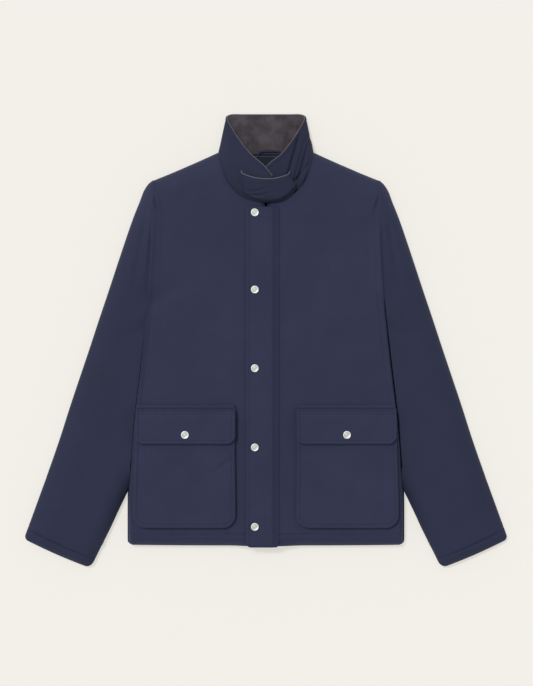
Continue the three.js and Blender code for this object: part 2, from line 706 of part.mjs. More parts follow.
function addPockets() {
  const { width, top, bottom, corner, depth, cloth, offFront } = POCKET;
  const snapY = FLAP.top - FLAP.snapDrop;
  const rows = 7;
  const outer = pocketSlab({ width, top, bottom, corner, low: offFront, high: depth, rows });
  const inner = pocketSlab({
    width: width - 2 * cloth,
    top: top + 6,
    bottom: bottom + cloth,
    corner: corner - cloth,
    low: offFront - 4,
    high: depth - cloth,
    rows,
  });
  const bagTop = FRONT_HEIGHT + depth;
  const bagHole = snapHole(bagTop - cloth).translate(POCKET.x, snapY, 0);
  addPair("pocket_bag", cut(outer, inner, bagHole), shellCloth);

  const low = depth + SNAP.lift;
  const flap = pocketSlab({ ...FLAP, low, high: low + FLAP.thickness, rows: 5 });
  const flapHole = snapHole(bagTop + SNAP.lift).translate(POCKET.x, snapY, 0);
  addPair("pocket_flap", cut(flap, flapHole), shellCloth);
  const weltBottom = FLAP.top + 1;
  const welt = { width: FLAP.width, top: weltBottom + WELT.height, bottom: weltBottom, corner: 0.1, rows: 1 };
  addPair("pocket_welt", pocketSlab({ ...welt, low: offFront, high: depth }), shellCloth);

  const cap = snapCap(SNAP.radius, FLAP.thickness).translate(POCKET.x, snapY, bagTop + SNAP.lift);
  addPair("pocket_snap_cap", cap, snapMetal);
  addPair("pocket_snap_stud", snapStud(SNAP.radius, cloth).translate(POCKET.x, snapY, bagTop), snapMetal);
}

// ---------------------------------------------------------------- cuff tabs

// Turns a piece drawn at a cuff's inner edge into place: x runs up the edge, y points at the body.
function atCuffEdge(geometry) {
  const [inner, free] = [SLEEVE.cuffInner, SLEEVE.freeFrom];
  const length = Math.hypot(free[0] - inner[0], free[1] - inner[1]);
  const spot = mix(inner, free, CUFF_TAB.fromCorner / length);
  const angle = Math.atan2(free[1] - inner[1], free[0] - inner[0]);
  return geometry.rotateZ(angle).translate(spot[0], spot[1], 0);
}
// A snap's piece drawn on level cloth, turned to stand on the sleeve's edge at the given distance.
const onCuffEdge = (geometry, distance) =>
  atCuffEdge(geometry.rotateX(-Math.PI / 2).translate(0, distance, CUFF_TAB.snapHeight));

// A tab that wraps up the inner edge of each cuff, and its snap, which faces the body.
function addCuffTabs() {
  const { width, base, height, thickness, snap } = CUFF_TAB;
  const stand = SNAP.lift;
  const plate = atCuffEdge(box([-width / 2, stand, base], [width / 2, stand + thickness, base + height]));
  addPair("cuff_tab", cut(plate, onCuffEdge(snapHole(0), stand)), shellCloth);
  addPair("cuff_snap_cap", onCuffEdge(snapCap(snap, thickness), stand), snapMetal);
  addPair("cuff_snap_stud", onCuffEdge(snapStud(snap, SHELL), 0), snapMetal);
}

addBack();
addNeckFacingAndLoop();
addFronts();
addSleeves();
addCollar();
addThroatTab();
addPlacketAndSnaps();
addZip();
addPockets();
addCuffTabs();

export default jacket;
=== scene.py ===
"""A foul weather jacket laid flat on its back: cloth, piping, stitching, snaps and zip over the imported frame.

Lengths are millimetres in the code and become metres where a mesh is made. +X is the wearer's left, +Y runs
from hem to collar, +Z comes up out of the front.
"""
import math

import bmesh
import bpy
import numpy as np
from mathutils import Matrix, Vector


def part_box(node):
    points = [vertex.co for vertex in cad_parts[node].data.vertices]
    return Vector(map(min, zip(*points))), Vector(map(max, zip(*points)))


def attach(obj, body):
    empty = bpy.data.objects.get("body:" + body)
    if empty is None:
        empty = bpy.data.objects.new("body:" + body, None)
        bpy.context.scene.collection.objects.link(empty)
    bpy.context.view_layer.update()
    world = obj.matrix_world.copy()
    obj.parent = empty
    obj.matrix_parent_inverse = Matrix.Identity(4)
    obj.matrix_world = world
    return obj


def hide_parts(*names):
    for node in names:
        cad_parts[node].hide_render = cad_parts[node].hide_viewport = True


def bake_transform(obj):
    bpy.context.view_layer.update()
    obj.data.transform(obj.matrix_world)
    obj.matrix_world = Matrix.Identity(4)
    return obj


MM = 0.001
SIDES = {"left": 1, "right": -1}

# ---- driving dimensions

SHELL, LINING = 2.2, 0.8  # thickness of the shell and of the body's lining
FRONT_HEIGHT = 36.0  # top of the front over the surface
HEM_Y, HEM_CORNER = -379.8, 7.0
SHOULDER_TOP, SHOULDER_SLOPE = 387.5, 0.4355  # the shoulder line is y = top - slope * x
# Height of the front along its edges.
SIDE_EDGE, ARMHOLE_EDGE, SHOULDER_EDGE, HEM_EDGE = 7.0, 30.0, 6.0, 14.0
UNDERARM_Y = 62.0
FRONT_START = 7.0  # the fronts' folded edges, either side of the zip
SIDE_LINE = [(255.4, -390), (255.4, -300), (254, -262), (245, -148), (232, -37), (220.5, 74), (215, 166),
             (211.5, 240), (208, 296), (203, 340)]
NECK_LINE = [(0, 253), (24, 256), (47, 267), (67, 290), (80, 317), (87.5, 349)]
SLEEVE_INNER = [(208, 296), (211.5, 240), (215, 166), (220.5, 74), (232, -37), (245, -148), (254, -262),
                (257.6, -277), (266, -295), (279.4, -323), (292.3, -351), (310.8, -388), (326, -419)]
SLEEVE_OUTER = [(208.5, 296.6), (217.5, 289), (225, 278), (229.6, 267), (233.6, 256), (243.3, 232),
                (253.5, 204), (272, 149), (290.5, 93), (309, 38), (327.5, -18), (346, -73), (364.5, -129),
                (382, -184), (401.5, -240), (421.5, -295), (446, -363)]
# Matching heights down the inner and the outer edge of a sleeve.
SLEEVE_STATIONS = [(293, 296), (282, 289), (264, 274), (235, 245), (190, 205), (140, 158), (95, 118),
                   (48, 78), (5, 42), (-60, -14), (-170, -110), (-270, -196), (-344, -279), (-419, -363)]
SLEEVE_HEIGHT, CUFF_HEIGHT, CUFF_MOUTH = 35.0, 29.0, 13.0
CUFF_STITCH = 17.0
ELBOW, ELBOW_Z = (281.0, -41.0), 15.0
ELBOW_LEAN = math.radians(22)
ELBOW_BEND = 70.0  # half the length of sleeve that bends

PLACKET = {"left": -36.6, "right": 23.2, "top": 247.0, "bottom": -382.8, "corner": 9.0, "lift": 3.4}
SEAM_STITCHES = (17.6, 21.6)  # x of the two rows beside the placket's seam
HEM_STITCH_Y = -358.5
POCKET = {"x": 149.5, "top": -137.0, "bottom": -346.5, "width": 184.0, "corner": 25.0,
          "depth": 9.6, "flare": 4.0}
# How far down the pocket's wall each fold of its bellows is, as a share, and how far in it goes.
BELLOWS = [(0.2, 0.6), (0.4, 3.0), (0.6, 6.0), (0.8, 4.5), (1.0, 2.0)]
FLAP = {"top": -124.5, "bottom": -191.5, "width": 184.5, "corner": 16.0, "over": 14.6, "shift": -1.0}
FLAP_STITCHES = (4.6, 11.0)  # below its top
WELT_TOP = -118.5
TAB_LEFT, TAB_RIGHT, TAB_TOP, TAB_DIP, TAB_BOTTOM = -44.5, 41.5, 306.5, 10.5, 257.5  # the throat tab
BACK_NECK_Y = 352.0
FACING_HALF = 66.0  # half the width of the facing inside the neck
PAD = (26, 20)  # the pads that fasten the throat tab
SLEEVE_EDGE = 6.5  # height of a sleeve's outer edge
SLEEVE_GAP = {"left": 1.9, "right": 0.0}  # the left sleeve leaves an open groove beside the front
ARMHOLE_STEP = 3.4  # how far the front stands above the sleeve beside it
TAB_TUCK = 4.2  # how far a cuff's tab and snap sit in from where the stiff model has them
FRONT_SNAPS, FRONT_SNAP_X = 5, -20.5
SNAP_RADIUS, CUFF_SNAP_RADIUS = 7.5, 4.6
ZIP_PITCH = 2.5
ZIP_TAPE_TOP = 257.0  # the tapes' ends are sewn in under the collar
LOOP = {"x": 6.5, "y": 342.5, "half": 20.5, "rise": 9.5}
STITCH = {"length": 2.6, "pitch": 3.4, "radius": 0.3, "flat": 0.8, "bow": 0.12, "look": 1.2, "around": 6}
# Where along a stitch its rings of points are, as a share of its length, and how thick it is there.
STITCH_RINGS = [(-0.5, 0.35), (-0.34, 0.95), (0.0, 1.0), (0.34, 0.95), (0.5, 0.35)]
THREAD_LIFT = 0.1  # a thread's middle lies this far above the cloth
WELD = 0.02  # points nearer than this become one
CRISP_ANGLE = 50  # degrees that an edge has to turn by to stay crisp
FLOOR_HALF, FLOOR_Z = 12000, -0.3

# Shown colours, in linear light.
NAVY = (0.0275, 0.0325, 0.0710, 1)
NAVY_DEEP = (0.0215, 0.0245, 0.0540, 1)
SHEEN_TINT = (0.35, 0.42, 0.75, 1)
LINING_NAVY = (0.010, 0.0145, 0.024, 1)
CORDUROY = (0.058, 0.0485, 0.058, 1)
PIPING = (0.135, 0.125, 0.155, 1)
FACING = (0.012, 0.0185, 0.0295, 1)
LOOP_NAVY = (0.024, 0.027, 0.052, 1)
BLUE_PIPING = (0.065, 0.078, 0.13, 1)
NICKEL = (0.71, 0.715, 0.70, 1)
DARKER_NICKEL = (0.50, 0.51, 0.49, 1)
GUNMETAL = (0.10, 0.105, 0.115, 1)
FLOOR = (0.86, 0.835, 0.78, 1)
FLOOR_GLOW = 0.68
SLEEVE_SHADE_TONE = 0.86  # painted shade: the sleeves and the collar are a little darker than the fronts, copies of their cloth darkened for the shade on their slopes, with some real difference in tone between panels
COLLAR_SHADE_TONE = 0.74
FADE_YS = (100, 250)  # between them the sleeves' painted shade fades towards the colour of the fronts


# ---- numbers and curves

def lerp(a, b, t):
    return a + (b - a) * t


def smooth(value, low, high):
    t = np.clip((value - low) / (high - low), 0, 1)
    return t * t * (3 - 2 * t)


def between(value, start, full, until, gone):
    """0 up to start, 1 from full until another value, and 0 again once it is gone."""
    return smooth(value, start, full) * (1 - smooth(value, until, gone))


def crown(distance, reach):
    """0 at an edge, rising like a quarter circle to 1 from reach inwards."""
    t = np.clip(distance / reach, 0, 1)
    return np.sqrt(np.maximum(0, 1 - (1 - t) ** 2))


def bump(value, centre, width):
    return np.exp(-(((value - centre) / width) ** 2))


def ridges(value, *rows):
    """Ridges and grooves across a value, each with a height, a centre and a half width."""
    return sum(height * bump(value, centre, width) for height, centre, width in rows)


def edge_drop(distance, reach, depth):
    """How far a surface falls off towards an edge, from reach inwards: depth at the edge itself."""
    return depth * (1 - crown(distance, reach))


def corner_cut(distance, radius):
    """How far a round corner stands back from one edge, at a distance from the other."""
    return edge_drop(distance, radius, radius)


def unit(vectors):
    """Vectors made one long, along the last axis."""
    return vectors / np.maximum(1e-9, np.linalg.norm(vectors, axis=-1, keepdims=True))


def shares(rows, columns, left=0):
    """Shares from 0 to 1 up a sheet's rows, and from left to 1 across its columns."""
    return np.linspace(0, 1, rows)[:, None], np.linspace(left, 1, columns)[None, :]


def sheet_of(x, y, z):
    """Rows and columns of points, from coordinates that vary over either or both."""
    return np.stack(np.broadcast_arrays(x, y, z), 2)


def catmull(points, steps=24):
    """Points along a smooth curve through the given ones, steps to each stretch."""
    p = np.asarray(points, float)
    p = np.vstack([2 * p[0] - p[1], p, 2 * p[-1] - p[-2]])
    out = []
    for i in range(1, len(p) - 2):
        for t in np.arange(steps) / steps:
            a, b, c, d = p[i - 1:i + 3]
            out.append(0.5 * (2 * b + (c - a) * t + (2 * a - 5 * b + 4 * c - d) * t ** 2
                              + (3 * b - a - 3 * c + d) * t ** 3))
    return np.array(out + [p[-2]])


def run_along(line):
    """Distance along a line at each of its points."""
    return np.concatenate([[0], np.cumsum(np.linalg.norm(np.diff(line, axis=0), axis=1))])


def read_off(line, run, at):
    """Points of a line where its run reaches the given values."""
    return np.stack([np.interp(at, run, line[:, k]) for k in range(line.shape[1])], -1)


def along(points, count):
    """count points evenly spaced on the smooth curve through the given ones."""
    fine = catmull(points)
    run = run_along(fine)
    return read_off(fine, run, np.linspace(0, run[-1], count))


def reader(points):
    """A function that gives x for y on the smooth line through the points."""
    fine = catmull(points)
    fine = fine[np.argsort(fine[:, 1])]
    return lambda y: np.interp(y, fine[:, 1], fine[:, 0])


side_x = reader(SIDE_LINE)
sleeve_inner_x = reader(SLEEVE_INNER)
sleeve_outer_x = reader(SLEEVE_OUTER)
NECK_FINE = catmull(NECK_LINE)


def waves(x, y, seed, lengths, heights):
    """Soft unevenness: crossed sine waves of the given lengths and heights."""
    rng = np.random.default_rng(seed)
    total = 0
    for length, height in zip(lengths, heights):
        for _ in range(3):
            angle, phase = rng.uniform(0, math.pi), rng.uniform(0, 2 * math.pi)
            run = x * math.cos(angle) + y * math.sin(angle)
            total = total + height / 3 * np.sin(2 * math.pi * run / length + phase)
    return total


# ---- the front's surface

def shoulder_y(x):
    return SHOULDER_TOP - SHOULDER_SLOPE * x


def front_top_y(x):
    return np.where(x < NECK_LINE[-1][0], np.interp(x, NECK_FINE[:, 0], NECK_FINE[:, 1]), shoulder_y(x))


def edge_height(y):
    """Height of the front along the side seam and the armhole."""
    rise = lerp(SIDE_EDGE, ARMHOLE_EDGE, smooth(y, UNDERARM_Y - 90, UNDERARM_Y + 70))
    return lerp(rise, FRONT_HEIGHT, smooth(y, 150, 235))


def front_z(x, y):
    """Height of the front's outer face at |x|, y."""
    roll = lerp(11, 5, smooth(y, -270, -200))  # tighter where the sleeve lies against it
    z = lerp(edge_height(y), FRONT_HEIGHT, crown(side_x(y) - x, roll))
    z = lerp(SHOULDER_EDGE, z, crown(shoulder_y(x) - y, 42))
    hem_drop = (FRONT_HEIGHT - HEM_EDGE) * lerp(0.35, 1.0, smooth(x, 20, 70))
    z = z - edge_drop(y - HEM_Y, 25, np.minimum(hem_drop, z - SIDE_EDGE))
    inside = smooth(side_x(y) - x, 4, 60) * smooth(y - HEM_Y, 30, 90) * smooth(shoulder_y(x) - y, 10, 80)
    return z + inside * smooth(x, 30, 80) * waves(x, y, 5, (260, 120, 62), (1.6, 0.9, 0.35))


def front_detail(x, y):
    """Seams and soft folds pressed into the front, which the pockets don't follow."""
    from_side = side_x(y) - x
    hem = ridges(y - HEM_STITCH_Y, (-1.5, 0, 1.5), (0.8, -6, 4), (0.6, 5, 3))
    pucker = 0.4 * bump(y, HEM_STITCH_Y + 2, 9) * np.sin(x / 4.1 + 2 * np.sin(x / 23)) * smooth(x, 30, 60)
    side = ridges(from_side, (0.8, 6, 4), (-0.7, 12.5, 2.2)) * (1 - smooth(y, 150, 250))
    # Folds that run from the underarm into the chest.
    run = (x - 215) * 0.53 + (y - 60) * 0.85
    across = (x - 215) * 0.85 - (y - 60) * 0.53
    pull = 2.2 * bump(run, 30, 16) * bump(across, -10, 42) - 2.2 * bump(run, 4, 13) * bump(across, -14, 46)
    beside = -1.3 * bump(from_side, 24, 9) * between(y, 60, 130, 205, 250)
    chest = -1.1 * bump(x + 0.18 * (y - 180), 120, 22) * between(y, 60, 150, 220, 300)
    # Small puckers below the end of the shoulder seam.
    tip = ridges(x + 0.28 * (250 - y), (-2.6, 204, 2.2), (1.6, 198, 4)) * bump(y, 252, 15)
    melt = edge_drop(from_side, 3.5, -1.1) * smooth(y, 232, 252)
    ridge = 1.5 * bump(from_side, 4.4, 1.8) * between(y, -150, -60, 200, 240)
    return hem + pucker + side + pull + beside + chest + tip + melt + ridge


# ---- meshes

def add_object(name, data):
    obj = bpy.data.objects.new(name, data)
    bpy.context.scene.collection.objects.link(obj)
    return obj


def mesh_of(name, points, faces, material, smooth_faces=True):
    mesh = bpy.data.meshes.new(name)
    mesh.from_pydata([tuple(p) for p in np.asarray(points, float) * MM], [], faces)
    mesh.validate()
    mesh.materials.append(material)
    mesh.polygons.foreach_set("use_smooth", [smooth_faces] * len(mesh.polygons))
    return add_object(name, mesh)


def row_faces(rows, columns, closed, base=0):
    """Faces between rows of points whose first point is numbered base."""
    corners = ((0, 0), (0, 1), (1, 1), (1, 0))
    return [[base + (r + down) * columns + (c + across) % columns for down, across in corners]
            for r in range(rows - 1) for c in range(columns if closed else columns - 1)]


def bead_faces(base, rings, size):
    """Faces round a stack of rings of points, and over its two ends."""
    last = base + (rings - 1) * size
    ends = [list(range(base, base + size))[::-1], list(range(last, last + size))]
    return row_faces(rings, size, True, base) + ends


def grid(name, points, material, closed=False):
    """A surface through rows and columns of points, facing up where rows run +Y and columns +X."""
    rows, columns = points.shape[:2]
    return mesh_of(name, points.reshape(-1, 3), row_faces(rows, columns, closed), material)


def apply_modifier(obj, kind, **settings):
    modifier = obj.modifiers.new(kind.lower(), kind)
    for key, value in settings.items():
        setattr(modifier, key, value)
    bpy.context.view_layer.objects.active = obj
    with bpy.context.temp_override(object=obj, active_object=obj, selected_objects=[obj]):
        bpy.ops.object.modifier_apply(modifier=modifier.name)


def thicken(obj, thickness, offset=-1.0):
    """Gives a sheet its thickness, and keeps its cut edges crisp."""
    apply_modifier(obj, "SOLIDIFY", thickness=thickness * MM, offset=offset, use_even_offset=False)
    obj.data.set_sharp_from_angle(angle=math.radians(CRISP_ANGLE))
    return obj


def cloth(name, points, material, thickness, offset=-1.0, flip=False):
    """A sheet of cloth whose outer face goes through the points, or its inner face if it is flipped."""
    obj = grid(name, points, material)
    if flip:
        obj.data.flip_normals()
    return thicken(obj, thickness, offset)


def mirror_x(points, sign):
    """Points mirrored for the right side, their columns reversed so that they still face up."""
    return points if sign > 0 else to_side(points, sign)[:, ::-1]


def to_side(points, sign):
    return points * np.array([sign, 1, 1])


def crossing(strips, axis, value):
    """A line just over a surface, where each of its strips of points reaches a value of one axis."""
    made = [read_off(strip, strip[:, axis], value) for strip in strips]
    return np.array(made) + np.array([0, 0, THREAD_LIFT])


def join(name, objs):
    """One object made of several, the first one's material slots leading."""
    bpy.context.view_layer.update()
    with bpy.context.temp_override(active_object=objs[0], object=objs[0], selected_objects=objs,
                                   selected_editable_objects=objs):
        bpy.ops.object.join()
    objs[0].name = objs[0].data.name = name
    return objs[0]


def tube(name, path, radius, material, around=10, rise=None):
    """A closed round cord along a path, or an oval one if its rise differs."""
    tangent = unit(np.gradient(path, axis=0))
    side = np.cross([0, 0, 1.0], tangent)
    side[np.linalg.norm(side, axis=1) < 1e-3] = (1.0, 0, 0)
    side = unit(side)
    up = np.cross(tangent, side)
    turn = np.linspace(0, 2 * math.pi, around, endpoint=False)[None, :, None]
    ring = radius * np.cos(turn) * side[:, None] + (rise or radius) * np.sin(turn) * up[:, None]
    obj = grid(name, path[:, None] + ring, material, closed=True)
    close_ends(obj)
    return obj


def rework(obj, change):
    """Changes a mesh by a function of its bmesh, and turns its faces outwards."""
    work = bmesh.new()
    work.from_mesh(obj.data)
    change(work)
    bmesh.ops.recalc_face_normals(work, faces=work.faces)
    work.to_mesh(obj.data)
    work.free()


def close_ends(obj):
    rework(obj, lambda work: bmesh.ops.holes_fill(work, edges=[e for e in work.edges if e.is_boundary]))


def weld(obj):
    rework(obj, lambda work: bmesh.ops.remove_doubles(work, verts=work.verts, dist=WELD * MM))


def stitches(name, lines, material):
    """Threads that lie along each line of points, one short bead for each stitch."""
    points, faces = [], []
    for line in lines:
        run = run_along(line)
        count = max(1, int(run[-1] / STITCH["pitch"]))
        for i in range(count):
            at = (i + 0.5) * run[-1] / count
            behind, here, ahead = read_off(line, run, at + np.array([-1, 0, 1]) * STITCH["look"])
            faces += bead_faces(len(points), len(STITCH_RINGS), STITCH["around"])
            points += bead(here, unit(ahead - behind))
    return mesh_of(name, points, faces, material)


def bead(here, tangent):
    """Rings of points of one stitch, which bows up a little from the cloth."""
    side = unit(np.cross([0, 0, 1.0], tangent))
    up = np.cross(tangent, side)
    made = []
    for share, fat in STITCH_RINGS:
        centre = here + tangent * share * STITCH["length"] + up * STITCH["bow"] * (1 - abs(share) * 2)
        for angle in np.linspace(0, 2 * math.pi, STITCH["around"], endpoint=False):
            out = math.cos(angle) * side + STITCH["flat"] * math.sin(angle) * up
            made.append(centre + fat * STITCH["radius"] * out)
    return made


# ---- materials

def fill(node, inputs):
    """Sets a node's inputs, whose names have underscores here for their spaces."""
    for key, value in inputs.items():
        node.inputs[key.replace("_", " ")].default_value = value


class Look:
    """A material in the making. Its textures lie by the object's own coordinates, in metres."""

    def __init__(self, name, **inputs):
        self.material = bpy.data.materials.new(name)
        self.material.use_nodes = True
        self.tree = self.material.node_tree
        self.shader = self.tree.nodes["Principled BSDF"]
        self.place = self.add("TexCoord").outputs["Object"]
        fill(self.shader, inputs)

    def add(self, kind, **inputs):
        node = self.tree.nodes.new("ShaderNode" + kind)
        fill(node, inputs)
        return node

    def link(self, source, node, name):
        self.tree.links.new(source, node.inputs[name])

    def texture(self, kind, bands=None, **inputs):
        node = self.add("Tex" + kind, **inputs)
        if bands:
            node.bands_direction = bands
        self.link(self.place, node, "Vector")
        return node.outputs["Fac"]

    def ranged(self, value, **ends):
        node = self.add("MapRange", **ends)
        self.link(value, node, "Value")
        return node.outputs["Result"]

    def combined(self, operation, first, second):
        node = self.add("Math")
        node.operation = operation
        self.link(first, node, 0)
        self.link(second, node, 1)
        return node.outputs[0]

    def mixed(self, share, first, second):
        """A colour between two, the first of which may come from another node."""
        node = self.add("Mix")
        node.data_type = "RGBA"
        node.inputs["B"].default_value = second
        if isinstance(first, tuple):
            node.inputs["A"].default_value = first
        else:
            self.link(first, node, "A")
        self.link(share, node, "Factor")
        return node.outputs["Result"]

    def embossed(self, height, strength, depth):
        """The finished material, with a relief that is depth millimetres deep."""
        node = self.add("Bump", Strength=strength, Distance=depth * MM)
        self.link(height, node, "Height")
        self.link(node.outputs["Normal"], self.shader, "Normal")
        return self.material


def woven(name, colour, second, thread, roughness, sheen, weave=0.35, slub=14.0, above=None):
    """Plain-woven cloth: crossing threads in the bump, soft mottling in the colour.

    above is a colour that it fades to between the underarm and the shoulder; the sleeves use it to lighten
    their painted shade there.
    """
    look = Look(name, Roughness=roughness, Sheen_Weight=sheen, Sheen_Roughness=0.5, Sheen_Tint=SHEEN_TINT,
                Specular_IOR_Level=0.22)
    shown = look.mixed(look.texture("Noise", Scale=slub, Detail=4.0, Roughness=0.6), colour, second)
    if above:
        parts = look.add("SeparateXYZ")
        look.link(look.place, parts, 0)
        low, high = (y * MM for y in FADE_YS)
        shown = look.mixed(look.ranged(parts.outputs["Y"], From_Min=low, From_Max=high), shown, above)
    look.link(shown, look.shader, "Base Color")
    warp, weft = (look.texture("Wave", bands, Scale=1 / (thread * MM * 20), Distortion=0.6, Detail=1.0,
                               Detail_Scale=2.0) for bands in ("X", "Y"))
    uneven = look.texture("Noise", Scale=420.0, Detail=3.0)
    return look.embossed(look.combined("ADD", look.combined("MULTIPLY", warp, weft), uneven), weave, 0.4)


def corduroy_material():
    """Brushed pile with fine wales, mottled with random darker and lighter patches."""
    look = Look("corduroy_pile", Roughness=0.95, Sheen_Weight=0.35, Sheen_Roughness=0.6,
                Specular_IOR_Level=0.15)
    wale = look.texture("Wave", "X", Scale=26.0, Distortion=1.2, Detail=2.0, Detail_Scale=3.0)
    cloud = look.texture("Noise", Scale=42.0, Detail=6.0, Roughness=0.65)
    tone = look.add("ValToRGB")
    for element, position, shade in zip(tone.color_ramp.elements, (0.40, 0.62), (0.6, 1.22)):
        element.position = position
        element.color = toned(CORDUROY, shade)
    look.link(cloud, tone, "Fac")
    look.link(tone.outputs["Color"], look.shader, "Base Color")
    return look.embossed(look.combined("ADD", wale, cloud), 0.5, 0.7)


def metal(name, colour, roughness):
    """Metal with a fine grain in its polish."""
    look = Look(name, Metallic=1.0, Base_Color=colour)
    grain = look.texture("Noise", Scale=900.0, Detail=4.0)
    look.link(look.ranged(grain, To_Min=roughness * 0.8, To_Max=roughness * 1.3), look.shader, "Roughness")
    return look.embossed(grain, 0.15, 0.02)


def toned(colour, tone):
    return tuple(c * tone for c in colour[:3]) + (1,)


def make_materials():
    def shell(name, tone, above=None):
        return woven(name, toned(NAVY, tone), toned(NAVY_DEEP, tone), 0.55, 0.82, 0.1, above=above)

    return {
        "shell": shell("shell_cloth", 1.0),
        # Darker copies of the shell cloth for the sleeves and the collar are painted shade; the cuff tabs and
        # the throat tab use them too.
        "sleeve": shell("sleeve_cloth_painted_shade", SLEEVE_SHADE_TONE, toned(NAVY, 0.9)),
        "collar": shell("collar_cloth_painted_shade", COLLAR_SHADE_TONE),
        "lining": woven("lining_cloth", LINING_NAVY, LINING_NAVY, 0.35, 0.55, 0.05, weave=0.15),
        "corduroy": corduroy_material(),
        "facing": woven("facing_cloth", FACING, toned(FACING, 0.8), 0.5, 0.8, 0.05),
        "loop": woven("loop_tape", LOOP_NAVY, NAVY_DEEP, 0.5, 0.8, 0.05, weave=0.5),
        "blue_piping": woven("facing_piping", BLUE_PIPING, NAVY, 0.5, 0.7, 0.1, weave=0.5, slub=120.0),
        "lining_thread": woven("grey_thread", PIPING, CORDUROY, 0.2, 0.7, 0.1),
        "piping": woven("piping_braid", PIPING, toned(PIPING, 0.8), 0.5, 0.75, 0.1,
                        weave=0.5, slub=120.0),
        "thread": woven("navy_thread", toned(NAVY, 1.15), NAVY, 0.2, 0.6, 0.1),
        "tape": woven("zip_tape_cloth", LINING_NAVY, NAVY_DEEP, 0.4, 0.8, 0.05, weave=0.5),
        "nickel": metal("satin_nickel", NICKEL, 0.48),
        "darker_nickel": metal("darker_nickel", DARKER_NICKEL, 0.52),
        "zip": metal("dark_zip_metal", GUNMETAL, 0.35),
    }


# ---- finishing a piece

def dress(obj, body=None, joint=None, nodes=()):
    """Attaches a piece to the body it rides, or only bakes its transform where it has a joint, and hides the
    nodes it stands for.

    flat, share and goes are not used.
    """
    if joint:
        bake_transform(obj)
    else:
        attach(obj, body)
    if nodes:
        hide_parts(*nodes)


def sew(name, lines, thread, body=None, joint=None):
    seams = stitches(name, lines, thread)
    dress(seams, body, joint)
    return seams


def middle(node):
    """The middle of a node's box, in millimetres."""
    low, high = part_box(node)
    return (low + high) / 2 / MM


# ---- body

def front_points(sign, rows=230, columns=120, inset=0.0, drop=0.0, start=FRONT_START):
    """The outer face of one front, from the zip to the side seam and from hem to neck and shoulder."""
    v, u = shares(rows, columns)
    u = lerp(u, np.sin(u * math.pi / 2), 0.6)  # columns stand closer together by the side
    top_x = u * SIDE_LINE[-2][0]
    under_collar = 5 + 8 * bump(top_x, 76, 12)
    top = front_top_y(top_x) + under_collar * (1 - smooth(top_x, 80, 90))
    hem = HEM_Y - 1.5 + 1.2 * u ** 3
    y = lerp(hem + inset, top - inset, v)
    x = lerp(start, side_x(y) - corner_cut(y - hem, HEM_CORNER) - inset, u)
    z = front_z(x, y) - drop
    if not drop:
        z = z - 0.9 * np.clip(y - front_top_y(x) - 1, 0, 9) * (x < 90) - 1.2 * bump(x, start, 1.2)
        z = z + front_detail(x, y) + neck_seam(x, y)
    return mirror_x(sheet_of(x, y, z), sign)


def neck_seam(x, y):
    """The groove of the neck seam, with a ridge and a row of stitches pressed in beside it."""
    away = np.full(x.shape, 99.0)
    for near_x, near_y in NECK_FINE[::3]:
        away = np.minimum(away, np.hypot(x - near_x, y - near_y))
    return ridges(away, (-1.6, 0, 2.4), (0.5, 3.4, 1.6), (-0.7, 6, 1.1))


def make_front(side, sign, m):
    points = front_points(sign)
    front = cloth(f"front_{side}", points, m["shell"], SHELL)
    line = crossing(points.swapaxes(0, 1), 1, HEM_STITCH_Y)
    short_of_side = np.abs(line[:, 0]) < np.abs(line[:, 0]).max() - 8
    seams = sew(f"front_hem_stitches_{side}", [line[short_of_side]], m["thread"], "jacket")
    dress(front, "jacket", nodes=(f"front_panel_{side}", f"front_yoke_{side}"))
    inner = front_points(sign, 90, 50, inset=8, drop=SHELL + 2.6, start=15.0)
    lining = cloth(f"front_inside_{side}", inner, m["lining"], LINING)
    dress(lining, "jacket", nodes=(f"front_lining_{side}",))


def back_points(rows=150, columns=140, inset=0.0, lift=0.0):
    """The upper face of the back, or of its lining if it has a lift, with the back's sides folded up."""
    v, u = shares(rows, columns, -1)
    u = np.sin(u * math.pi / 2)
    top = np.minimum(BACK_NECK_Y, shoulder_y(np.abs(u) * SIDE_LINE[-2][0])) - inset
    y = lerp(HEM_Y + 0.5 + inset, top, v)
    edge = side_x(y) - inset
    x = u * (edge - corner_cut(y - HEM_Y, HEM_CORNER))
    fold = lerp(SIDE_EDGE - SHELL, 0.6, smooth(y, UNDERARM_Y - 90, UNDERARM_Y + 60))
    z = edge_drop(edge - np.abs(x), 7.0, fold)
    z = np.maximum(z, edge_drop(shoulder_y(np.abs(x)) - y, 8.0, SHOULDER_EDGE - SHELL))
    return sheet_of(x, y, z * (lift == 0) + SHELL + lift)


def make_back(m):
    back = cloth("back", back_points(), m["shell"], SHELL)
    dress(back, "jacket", nodes=("back_panel",))
    inner = cloth("back_inside", back_points(60, 50, 9, 1.4), m["lining"], LINING)
    dress(inner, "jacket", nodes=("back_lining",))


# ---- inside the neck

def make_neck_inside(m):
    """The facing below the collar inside the back neck, its piped edge and the hanger loop."""
    v, u = shares(16, 60, -1)
    x = FACING_HALF * u
    y = lerp(262 + 22 * u ** 2, 341.5, v)
    z = 5.2 + 0.4 * bump(v, 1, 0.1) + 0.2 * np.sin(x / 11) * (1 - v)
    facing = cloth("neck_facing_panel", sheet_of(x, y, z), m["facing"], 1.0)
    dress(facing, "jacket", nodes=("neck_facing",))
    line = np.linspace((-FACING_HALF, 341.8, 5.9), (FACING_HALF, 341.8, 5.9), 60)
    dress(tube("neck_facing_piping", line, 0.9, m["blue_piping"]), "jacket")
    # A flat band that arches up out of the seam and back into it.
    turn = np.linspace(0, math.pi, 60)
    lean = np.sign(np.cos(turn)) * np.abs(np.cos(turn)) ** 0.45
    path = np.stack([LOOP["x"] + LOOP["half"] * lean, LOOP["y"] + LOOP["rise"] * np.sin(turn) ** 0.55,
                     7.2 + 1.2 * np.sin(turn)], 1)
    loop = tube("hanging_loop", path, 2.1, m["loop"], rise=0.75)
    dress(loop, "jacket", nodes=("hanger_loop",))


# ---- sleeves

